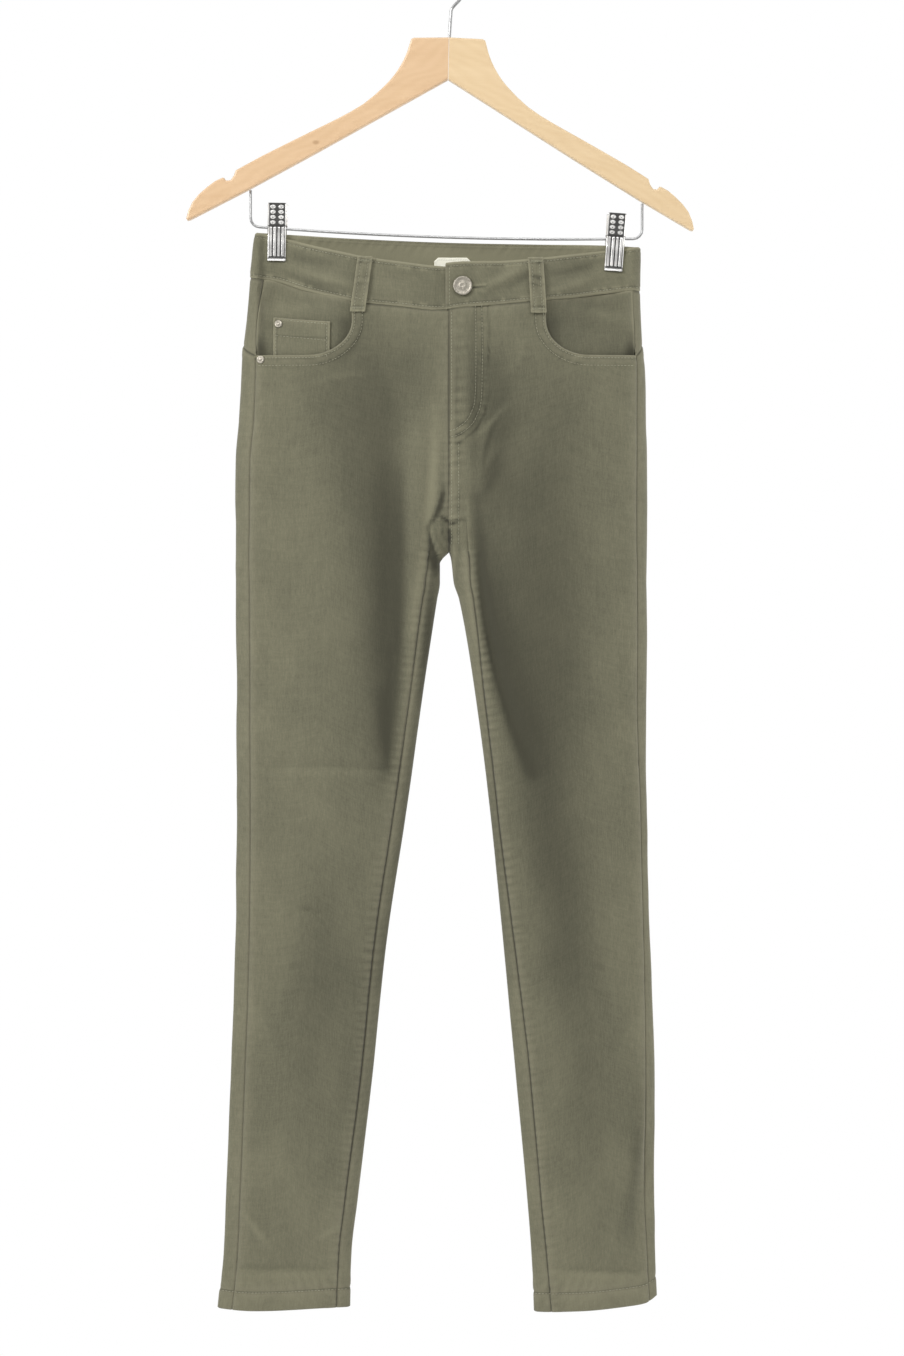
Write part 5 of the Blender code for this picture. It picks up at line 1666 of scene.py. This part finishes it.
def jaw(clip, face, look):
    """One pressed steel jaw: a plate drawn down its section, pressed and given its thickness."""
    front = face == "front"
    width = JAW_WIDTH[face]
    downs = np.linspace(0, CLIP_LENGTH + 0.2, JAW_ROWS + 1)
    section = np.array(JAW)
    out = np.interp(downs, section[:, 0], section[:, 1])
    out = np.pad(out, JAW_ROUNDING // 2, mode="reflect", reflect_type="odd")
    out = np.convolve(out, np.ones(JAW_ROUNDING) / JAW_ROUNDING, "valid") + JAW_STEEL
    piece = start_piece(bpy.ops.mesh.primitive_grid_add, x_subdivisions=JAW_COLUMNS,
                        y_subdivisions=1, size=1)
    bpy.ops.transform.resize(value=(width * MM, MM, 1))
    pick(lambda place: place.y > 0)
    bpy.ops.mesh.delete(type="VERT")
    bpy.ops.mesh.select_all(action="SELECT")
    bpy.ops.transform.translate(value=(0, 0.5 * MM + CLIP_LENGTH * MM, out[0] * MM))
    for i in range(JAW_ROWS):
        bpy.ops.mesh.extrude_edges_move(TRANSFORM_OT_translate={
            "value": (0, -(downs[i + 1] - downs[i]) * MM, (out[i + 1] - out[i]) * MM)})
    bpy.ops.object.mode_set(mode="OBJECT")

    places = np.array([point.co for point in piece.data.vertices])
    across, down = places[:, 0] / MM, CLIP_LENGTH - places[:, 1] / MM
    pressed = front * jaw_relief(across, down)
    edge = np.abs(across)
    turn = JAW_TURN * ease(width / 2 - JAW_EDGE, width / 2, edge)
    turn = turn * (1 - ease(JAW_GRIP - 4, JAW_GRIP, down))
    corner = 0.25 * ease(width / 2 - 0.8, width / 2, edge)
    raise_by(piece, (pressed - turn - corner) * MM)
    rim = ease(width / 2 - 1.1, width / 2 - 0.6, edge)
    # Painted shade: the front jaw is darkened in its pressed recesses, but not at its rim, and
    # in the strips across it.
    recess = (1 - ease(0.1, 0.5, pressed)) * front * (1 - rim)
    strip = sum(shade * bump(down, at, wide) for at, wide, shade in JAW_SHADE_STRIPS)
    dark = piece.data.attributes.new("recess", "FLOAT", "POINT")
    dark.data.foreach_set("value", np.clip(recess + 0.9 * strip, 0, 1).astype(np.float32))
    bpy.ops.object.mode_set(mode="EDIT")
    bpy.ops.mesh.select_all(action="SELECT")
    bpy.ops.mesh.normals_make_consistent(inside=False)
    bpy.ops.object.mode_set(mode="OBJECT")
    up = piece.data.polygons[0].normal.z > 0
    apply_modifier(piece, "SOLIDIFY", thickness=JAW_STEEL * MM, offset=-1 if up else 1)
    c, s = math.cos(clip.lean), math.sin(clip.lean) * clip.side
    way = -1 if front else 1
    turn = Matrix(((-way * c, s, 0, 0), (0, 0, way, 0), (way * s, c, 0, 0), (0, 0, 0, 1)))
    place = Matrix.Translation((clip.side * clip.across, 0, -clip.bottom)) @ turn
    return end_piece(piece, f"metal_clip_{clip.name}_{face}", look, place)


# --- Looks --------------------------------------------------------------------------------


class Flow:
    """A node's output. Arithmetic on it adds the nodes that carry it out."""

    def __init__(self, look, socket):
        self.look, self.socket = look, socket

    def __add__(self, other):
        return self.look.math("ADD", self, other)

    def __sub__(self, other):
        return self.look.math("SUBTRACT", self, other)

    def __rsub__(self, other):
        return self.look.math("SUBTRACT", other, self)

    def __mul__(self, other):
        return self.look.math("MULTIPLY", self, other)

    __radd__, __rmul__ = __add__, __mul__


class Look:
    """A material and the nodes that make it."""

    def __init__(self, name):
        self.material = bpy.data.materials.new(name)
        self.material.use_nodes = True
        self.tree = self.material.node_tree
        self.tree.nodes.clear()

    def node(self, kind, values=None, **settings):
        """A node with its settings, and its inputs by name or number."""
        made = self.tree.nodes.new(kind)
        for key, value in settings.items():
            setattr(made, key, value)
        for key, value in (values or {}).items():
            if isinstance(value, Flow):
                self.tree.links.new(value.socket, made.inputs[key])
            elif value is not None:
                made.inputs[key].default_value = value
        return made

    def flow(self, node, output=0):
        return Flow(self, node.outputs[output])

    def math(self, operation, *values):
        return self.flow(self.node("ShaderNodeMath", dict(enumerate(values)),
                                   operation=operation))

    def object_place(self, turn=0.0, scale=(1, 1, 1)):
        """Object coordinates in metres, turned about Y and scaled."""
        place = self.flow(self.node("ShaderNodeTexCoord"), "Object")
        return self.flow(self.node("ShaderNodeMapping", {
            "Vector": place, "Rotation": (0, turn, 0), "Scale": scale}))

    def cloth_place(self, across=1.0, down=1.0):
        """The piece's own place on its pattern, in metres, stretched by the two factors."""
        place = self.flow(self.node("ShaderNodeUVMap", uv_map="cloth"))
        return self.flow(self.node("ShaderNodeMapping", {
            "Vector": place, "Scale": (across, down, 1)}))

    def attribute(self, name):
        return self.flow(self.node("ShaderNodeAttribute", attribute_name=name), "Fac")

    def grain(self, place, size, detail=2.0, rough=0.5):
        """Noise around 0.5, with lumps of a size in metres."""
        return self.flow(self.node("ShaderNodeTexNoise", {
            "Vector": place, "Scale": 1 / size, "Detail": detail, "Roughness": rough}))

    def wave(self, phase, length):
        """A sine from -1 to 1, with waves of a length in metres."""
        return self.math("SINE", phase * (2 * math.pi / length))

    def spread(self, flow, low, high, to_low=0.0, to_high=1.0):
        """Maps a range of a flow softly to another range."""
        return self.flow(self.node("ShaderNodeMapRange", {
            "Value": flow, "From Min": low, "From Max": high, "To Min": to_low,
            "To Max": to_high}, interpolation_type="SMOOTHSTEP"))

    def split(self, vector):
        node = self.node("ShaderNodeSeparateXYZ", {"Vector": vector})
        return [self.flow(node, i) for i in range(3)]

    def mix(self, factor, first, second):
        """A blend from one colour to another."""
        node = self.node("ShaderNodeMix", data_type="RGBA", clamp_factor=True)
        for key, value in ((0, factor), (6, first), (7, second)):
            if isinstance(value, Flow):
                self.tree.links.new(value.socket, node.inputs[key])
            elif key == 0:
                node.inputs[key].default_value = value
            else:
                node.inputs[key].default_value = (*value, 1)
        return self.flow(node, 2)

    def finish(self, colour, roughness, height, depth, **constants):
        """The surface itself. height is in metres when depth is 1."""
        normal = self.flow(self.node("ShaderNodeBump", {
            "Height": height, "Distance": depth, "Strength": 1.0}))
        values = {"Base Color": colour, "Roughness": roughness, "Normal": normal}
        values |= {key.replace("_", " "): value for key, value in constants.items()}
        surface = self.node("ShaderNodeBsdfPrincipled", values)
        output = self.node("ShaderNodeOutputMaterial")
        self.tree.links.new(surface.outputs[0], output.inputs[0])
        return self.material


def tint(colour, *factors):
    """A colour times a factor, or times one for each of its channels."""
    return tuple(channel * factor for channel, factor in zip(colour, factors * 3))


def twill_look(colour):
    """Washed cotton twill: diagonal ribs, yarn streaks both ways, pale worn seams, and painted
    shade and highlight.
    """
    look = Look("twill_look")
    place = look.cloth_place()
    across, down, _ = look.split(place)
    rib = look.wave(across * 0.9 + down * 0.55, 0.00095)
    yarn = look.grain(look.cloth_place(1, 0.12), 0.0009, 2.0, 0.6)
    streak = look.grain(look.cloth_place(1, 0.10), 0.0034, 3.0, 0.7)
    cloud = look.grain(look.cloth_place(1, 0.6), 0.05, 4.0, 0.6)
    speck = look.grain(place, 0.0014, 2.0, 0.7)
    weft = look.grain(look.cloth_place(0.1, 1), 0.0026, 3.0, 0.65)
    # The attribute read beside fade holds painted shade where it is positive and painted
    # highlight where it is negative, with some wear and random tone in it.
    fade, crease = look.attribute("fade"), look.attribute("crease")
    worn = look.spread(fade * 0.9 + (look.grain(place, 0.006, 3.0, 0.6) - 0.5) * fade * 1.3,
                       0.15, 1.0)
    value = rib * 0.04 + 0.5 + worn * 0.16 - crease * 0.35
    for grain, low, share in ((streak, 0.25, 0.13), (weft, 0.25, 0.12), (yarn, 0.25, 0.24),
                              (cloud, 0.3, 0.22), (speck, 0.3, 0.16)):
        value = value + look.spread(grain, low, 1 - low, -0.5, 0.5) * share
    base = look.mix(value, tint(colour, 0.60, 0.62, 0.63), tint(colour, 1.38))
    base = look.mix(worn * 0.35, base, tint(tint(colour, 1, 0.985, 1.06), 1.3))
    # Painted shade: darker where that attribute is high. Painted highlight: paler where it is
    # low.
    base = look.mix(look.spread(crease, 0, DARKEST, 0, 0.8), base, tint(colour, 0.28))
    base = look.mix(look.spread(crease, 0, PALEST, 0, 0.5), base, tint(colour, 1.7))
    lint = look.flow(look.node("ShaderNodeTexVoronoi", {
        "Vector": look.cloth_place(1, 0.35), "Scale": 1 / 0.05, "Randomness": 1.0}),
        "Distance")
    base = look.mix(look.spread(lint, 0.012, 0.006), base, tint(colour, 2.4))
    height = rib * 0.05 + yarn * 0.25 + streak * 0.2 + speck * 0.12
    return look.finish(base, 0.93, height, 0.0003, Sheen_Weight=0.22, Sheen_Roughness=0.45,
                       Specular_IOR_Level=0.22)


def thread_look(colour):
    """Spun polyester thread, twisted round its own length."""
    look = Look("thread_look")
    place = look.cloth_place()
    along, which, _ = look.split(place)
    twist = look.math("SINE", along * (2 * math.pi / 0.0006) + which * 90)
    shade = look.grain(place, 0.004, 1.0)
    base = look.mix(twist * 0.2 + shade * 0.8, tint(colour, 0.72), tint(colour, 1.3))
    return look.finish(base, 0.7, twist, 0.00006, Sheen_Weight=0.15, Sheen_Roughness=0.4)


def label_look(colour):
    """A smooth woven ribbon with a stitched border."""
    look = Look("label_look")
    across, down, _ = look.split(look.cloth_place())
    weft, warp = look.wave(down, 0.00042), look.wave(across, 0.00055)
    slub = look.grain(look.cloth_place(0.12, 1), 0.0012, 2.0)
    width = (LABEL[1][0] - LABEL[0][0]) * MM
    edge = look.math("MINIMUM", look.math("MINIMUM", across, width - across), down)
    dash = look.wave(across + down, 0.0021)
    border = look.spread(look.math("ABSOLUTE", edge - 0.0016), 0.00055, 0.00025)
    border = border * look.spread(dash, -0.4, 0.1)
    base = look.mix(weft * warp * 0.12 + slub * 0.7 + 0.1, tint(colour, 0.86),
                    tint(colour, 1.06))
    base = look.mix(border * 0.55, base, tint(colour, 0.62))
    return look.finish(base, 0.75, weft * 0.3 + warp * 0.2 + border * 0.6, 0.00012,
                       Sheen_Weight=0.1)


ROSY = (0.96, 0.88, 0.87)  # the left half's wood has a little less green and blue in it
KNOT_AT, KNOT_SIZE = (-0.1165, -0.160), (0.0042, 0.0026)


def wood_look(colour, name, turn):
    """Pale lacquered wood with its grain along the arm, fine pores and a small knot."""
    look = Look(name)

    def grain_along(stretch, *values):
        return look.grain(look.object_place(turn, (stretch, 1, 1)), *values)

    _, y, z = look.split(look.object_place(turn))
    rings = look.wave(z + y * 0.3 + grain_along(0.25, 0.03, 2.0) * 0.03, 0.0075)
    fine, band = grain_along(0.03, 0.0011, 2.0, 0.5), grain_along(0.05, 0.009, 3.0, 0.55)
    pores = look.spread(grain_along(0.05, 0.0006, 1.0), 0.62, 0.76)
    value = rings * 0.08 + fine * 0.14 + band * 0.6 + 0.12
    base = look.mix(value, tint(tint(colour, 1, 0.93, 0.84), 0.88), tint(colour, 1.08))
    base = look.mix(pores * 0.16, base, (0.42, 0.27, 0.14))
    x, _, z = look.split(look.object_place())
    off = [(place - at) * (1 / size) for place, at, size in zip((x, z), KNOT_AT, KNOT_SIZE)]
    knot = look.math("SQRT", off[0] * off[0] + off[1] * off[1])
    base = look.mix(look.spread(knot, 1.0, 0.3, 0, 0.55), base, (0.30, 0.17, 0.08))
    rough = look.spread(fine, 0.3, 0.7, 0.36, 0.5)
    return look.finish(base, rough, fine * 0.25 + pores * -0.25, 0.0001, Coat_Weight=0.2,
                       Coat_Roughness=0.3, Specular_IOR_Level=0.4)


def steel_look(colour, name="steel_look", shade_recesses=True):
    """Nickel-plated steel with rubbed high places and scratches, and painted shade in its
    recesses.
    """
    look = Look(name)
    cloud = look.grain(look.object_place(), 0.012, 4.0, 0.6)
    scratch = look.grain(look.object_place(0.5, (0.08, 1, 1)), 0.0005, 2.0, 0.7)
    rough = look.spread(cloud, 0.3, 0.7, 0.32, 0.46) + (scratch - 0.5) * 0.15
    base = look.mix(look.spread(cloud, 0.3, 0.75), tint(colour, 0.82), tint(colour, 1.12))
    # Painted shade from the jaw's recess values: its recesses and the strips across it are
    # darkened.
    if shade_recesses:
        base = look.mix(look.attribute("recess") * 0.95, base, tint(colour, 0.07))
    return look.finish(base, rough, scratch, 0.00002, Metallic=0.8)


def pewter_look(colour):
    """Old silver plate: rubbed bright, darker where it is rough."""
    look = Look("pewter_look")
    place = look.object_place()
    patina = look.grain(place, 0.0022, 5.0, 0.7)
    pits = look.grain(place, 0.0007, 2.0, 0.6)
    value = look.spread(patina, 0.35, 0.68)
    base = look.mix(value, tint(colour, 0.72), tint(colour, 1.1))
    rough = look.spread(patina, 0.3, 0.7, 0.6, 0.42)
    return look.finish(base, rough, patina * 0.6 + pits * 0.4, 0.00025, Metallic=1.0)


def plaster_look(colour):
    """The pale floor: matt, with a trace of unevenness."""
    look = Look("floor_look")
    cloud = look.grain(look.object_place(), 0.25, 3.0)
    base = look.mix(cloud, tint(colour, 0.985), colour)
    return look.finish(base, 0.9, cloud, 0.0005, Specular_IOR_Level=0.1)


# --- The stage ----------------------------------------------------------------------------

# The photograph's frame: its middle and its height at the garment, in millimetres.
VIEW_AT = (2.6, 628.6)
VIEW_HEIGHT = 1187.9
SENSOR = 36.0  # its height, in the camera's own millimetres

# The lights: where each is, what it is aimed at, its size and its share of the key's power.
AIM = (0, 0, -0.65)
LIGHTS = (
    ("key", (-2.7, -2.0, 0.9), AIM, (1.1, 1.4), 1.0),
    ("fill", (2.6, -2.2, 0.0), AIM, (1.6, 2.2), 0.22),
    ("top", (0.1, -1.9, 1.5), (0, 0, -0.3), (1.6, 0.8), 0.36),
    ("edge", (2.3, 0.2, -0.4), AIM, (0.8, 2.0), 0.3),
)


def area_light(name, place, aim, size, power):
    """A white rectangular light."""
    light = bpy.data.lights.new(name, "AREA")
    light.shape, light.size, light.size_y = "RECTANGLE", *size
    light.energy = power
    lamp = bpy.data.objects.new(name, light)
    lamp.location = place
    lamp.rotation_euler = (Vector(aim) - Vector(place)).to_track_quat("-Z", "Y").to_euler()
    bpy.context.collection.objects.link(lamp)


def camera(distance):
    """The photograph's view: level, square on to the front."""
    data = bpy.data.cameras.new("camera")
    data.sensor_width, data.sensor_fit = SENSOR, "AUTO"
    data.lens = SENSOR * distance / (VIEW_HEIGHT * MM)
    data.clip_start, data.clip_end = 0.1, 60
    data.dof.use_dof = False
    made = bpy.data.objects.new("camera", data)
    made.location = (VIEW_AT[0] * MM, -distance, -VIEW_AT[1] * MM)
    made.rotation_euler = (math.pi / 2, 0, 0)
    bpy.context.collection.objects.link(made)
    bpy.context.scene.camera = made


def white_world(front, rear):
    """White all round to the camera. As light it is bright behind the jeans, as their
    backdrop is, and dimmer from the room in front of them."""
    world = bpy.data.worlds.new("studio")
    world.use_nodes = True
    tree = world.node_tree
    tree.nodes.clear()
    kinds = ("LightPath", "TexCoord", "SeparateXYZ", "MapRange", "Mix", "Background")
    rays, way, split, range_, shade, light = (tree.nodes.new("ShaderNode" + k) for k in kinds)
    output = tree.nodes.new("ShaderNodeOutputWorld")
    range_.interpolation_type = "SMOOTHSTEP"
    for name, value in (("From Min", -0.35), ("From Max", 0.45), ("To Min", front),
                        ("To Max", rear)):
        range_.inputs[name].default_value = value
    shade.data_type = "FLOAT"
    shade.inputs["B"].default_value = 1.0
    light.inputs["Color"].default_value = (1, 1, 1, 1)
    for start, end in (
        (way.outputs["Generated"], split.inputs["Vector"]),
        (split.outputs["Y"], range_.inputs["Value"]),
        (range_.outputs["Result"], shade.inputs["A"]),
        (rays.outputs["Is Camera Ray"], shade.inputs["Factor"]),
        (shade.outputs["Result"], light.inputs["Strength"]),
        (light.outputs["Background"], output.inputs["Surface"]),
    ):
        tree.links.new(start, end)
    bpy.context.scene.world = world


# --- The add-on ---------------------------------------------------------------------------


def colour_property(name, description, default):
    """A colour to choose in the sidebar."""
    return FloatVectorProperty(name=name, description=description, default=default,
                               subtype="COLOR", size=3, min=0, max=1)


class JeansColours(bpy.types.PropertyGroup):
    """The colours of the jeans and their hanger."""

    cloth: colour_property("Cloth", "The washed twill", (0.138, 0.131, 0.086))
    thread: colour_property("Thread", "The stitches", (0.27, 0.262, 0.18))
    label: colour_property("Label", "The woven label", (0.95, 0.93, 0.79))
    wood: colour_property("Wood", "The hanger", (0.62, 0.48, 0.30))
    steel: colour_property("Steel", "The clips", (0.80, 0.79, 0.77))
    # The wire is the clips' steel darkened: painted shade, so the thin bar and hook read grey
    # against the white.
    wire: colour_property("Wire", "The bar and the hook", (0.30, 0.30, 0.30))
    pewter: colour_property("Pewter", "Button and rivets", (0.42, 0.39, 0.33))


class StudioSettings(bpy.types.PropertyGroup):
    """The studio around the jeans."""

    distance: FloatProperty(name="Camera distance", description="From lens to garment",
                            default=4.0, min=1.0, unit="LENGTH")
    room: FloatProperty(name="Room", description="How bright the room in front is",
                        default=0.25, min=0.0)
    backdrop: FloatProperty(name="Backdrop", description="How bright the white behind is",
                            default=1.0, min=0.0)
    key: FloatProperty(name="Key light", description="The large light at the left front",
                       default=98.0, min=0.0, unit="POWER")
    floor_drop: FloatProperty(name="Floor", description="How far the floor lies below the rail",
                              default=1.75, min=1.3, unit="LENGTH")


def shared_look(name):
    """The material of that name, made when it is first asked for."""
    if name in bpy.data.materials:
        return bpy.data.materials[name]
    colours = bpy.context.scene.jeans_colours
    makers = {
        "twill_look": lambda: twill_look(tuple(colours.cloth)),
        "thread_look": lambda: thread_look(tuple(colours.thread)),
        "label_look": lambda: label_look(tuple(colours.label)),
        "wood_left_look": lambda: wood_look(tint(colours.wood, *ROSY), "wood_left_look",
                                            math.radians(29)),
        "wood_right_look": lambda: wood_look(tuple(colours.wood), "wood_right_look",
                                             math.radians(-27)),
        "steel_look": lambda: steel_look(tuple(colours.steel)),
        "wire_look": lambda: steel_look(tuple(colours.wire), "wire_look", shade_recesses=False),
        "pewter_look": lambda: pewter_look(tuple(colours.pewter)),
        "floor_look": lambda: plaster_look((0.9, 0.9, 0.89)),
    }
    return makers[name]()


CLOTH_PIECES = 19  # how many there are before the stitches are laid


def settle(piece, node):
    """Makes a piece part of the model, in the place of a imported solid."""
    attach(piece, "root")
    if node:
        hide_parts(node)


def settle_cloth(cut, node):
    """The same for cloth: the cut's piece takes its solid's place; its size and area are not
    used.
    """
    settle(cut.piece, node)


class JeansOperator(bpy.types.Operator):
    """One step of the build."""

    bl_options = {"REGISTER", "UNDO"}

    def execute(self, context):
        self.build()
        return {"FINISHED"}


class JEANS_OT_panels(JeansOperator):
    """Sews the front and back panels and the yokes"""

    bl_idname = "jeans.panels"
    bl_label = "Panels"

    def build(self):
        for side, name in SIDES:
            for node, cut in upper_panels(side, name, shared_look("twill_look")).items():
                settle_cloth(cut, node)


class JEANS_OT_waistband(JeansOperator):
    """Folds the waistband and lays the label inside it"""

    bl_idname = "jeans.waistband"
    bl_label = "Waistband and label"

    def build(self):
        settle_cloth(waistband(shared_look("twill_look")), "waistband")
        settle_cloth(label(shared_look("label_look")), "label")


class JEANS_OT_pockets(JeansOperator):
    """Adds the pockets, their facings and the fly's shield"""

    bl_idname = "jeans.pockets"
    bl_label = "Pockets and fly"

    def build(self):
        look = shared_look("twill_look")
        for side, name in SIDES:
            settle_cloth(facing(side, name, look), f"facing_{name}")
            settle_cloth(back_pocket(side, name, look), f"back_pocket_{name}")
        settle_cloth(coin_pocket(look), "coin_pocket")
        settle_cloth(fly_placket(look), "fly_placket")


class JEANS_OT_loops(JeansOperator):
    """Adds the belt loops"""

    bl_idname = "jeans.loops"
    bl_label = "Belt loops"

    def build(self):
        for loop in LOOPS:
            settle_cloth(belt_loop(loop, shared_look("twill_look")), f"loop_{loop.name}")


class JEANS_OT_stitches(JeansOperator):
    """Lays the stitches on the cloth that shows"""

    bl_idname = "jeans.stitches"
    bl_label = "Stitches"

    def build(self):
        pieces = [piece for piece in bpy.data.objects if piece.name.startswith("cloth_")]
        if len(pieces) < CLOTH_PIECES:
            raise RuntimeError("The stitches need all the cloth to be there first")
        for maker in (front_stitches, back_stitches):
            settle(maker(pieces, shared_look("thread_look")), None)


class JEANS_OT_metal(JeansOperator):
    """Adds the button, the rivets and the jaws of the clips"""

    bl_idname = "jeans.metal"
    bl_label = "Button, rivets and clips"

    def build(self):
        settle(button(shared_look("pewter_look")), "button")
        for name, x, drop, over in RIVETS:
            settle(rivet(name, shared_look("pewter_look"), x, drop, over), f"rivet_{name}")
        for clip in CLIPS:
            for face in ("front", "back"):
                settle(jaw(clip, face, shared_look("steel_look")),
                       f"clip_{clip.name}_{face}_jaw")


class JEANS_OT_hanger(JeansOperator):
    """Gives the hanger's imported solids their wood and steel"""

    bl_idname = "jeans.hanger"
    bl_label = "Hanger"

    def build(self):
        looks_of = {"hanger_left": "wood_left_look", "hanger_right": "wood_right_look"}
        looks_of |= dict.fromkeys(("hook", "clip_bar", "clip_left_spring",
                                   "clip_right_spring"), "wire_look")
        for node, look in looks_of.items():
            for place in frame["nodes"][node].material_slots:
                place.material = shared_look(look)


class JEANS_OT_studio(JeansOperator):
    """Sets up the floor, the lights and the camera"""

    bl_idname = "jeans.studio"
    bl_label = "Studio"

    def build(self):
        scene = bpy.context.scene
        settings = scene.jeans_studio
        scene.view_settings.view_transform = "Standard"
        floor = start_piece(bpy.ops.mesh.primitive_circle_add, vertices=96, radius=3.5,
                            fill_type="NGON", location=(0, 0, -settings.floor_drop))
        end_piece(floor, "floor", shared_look("floor_look"))
        for name, place, aim, size, share in LIGHTS:
            area_light(name, place, aim, size, settings.key * share)
        white_world(settings.room, settings.backdrop)
        camera(settings.distance)


STEPS = (JEANS_OT_panels, JEANS_OT_waistband, JEANS_OT_pockets, JEANS_OT_loops,
         JEANS_OT_stitches, JEANS_OT_metal, JEANS_OT_hanger, JEANS_OT_studio)


class JEANS_PT_sidebar(bpy.types.Panel):
    """The build's steps and settings"""

    bl_idname = "JEANS_PT_sidebar"
    bl_label = "Hung Jeans"
    bl_space_type = "VIEW_3D"
    bl_region_type = "UI"
    bl_category = "Jeans"

    def draw(self, context):
        for step in STEPS:
            self.layout.operator(step.bl_idname)
        for group in (context.scene.jeans_colours, context.scene.jeans_studio):
            for name in group.__annotations__:
                self.layout.prop(group, name)


CLASSES = (JeansColours, StudioSettings, *STEPS, JEANS_PT_sidebar)


def register():
    for kind in CLASSES:
        bpy.utils.register_class(kind)
    bpy.types.Scene.jeans_colours = PointerProperty(type=JeansColours)
    bpy.types.Scene.jeans_studio = PointerProperty(type=StudioSettings)


def unregister():
    del bpy.types.Scene.jeans_studio
    del bpy.types.Scene.jeans_colours
    for kind in reversed(CLASSES):
        bpy.utils.unregister_class(kind)


def main():
    """Registers the add-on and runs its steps."""
    register()
    for step in STEPS:
        group, name = step.bl_idname.split(".")
        getattr(getattr(bpy.ops, group), name)()


if __name__ == "__main__":
    main()
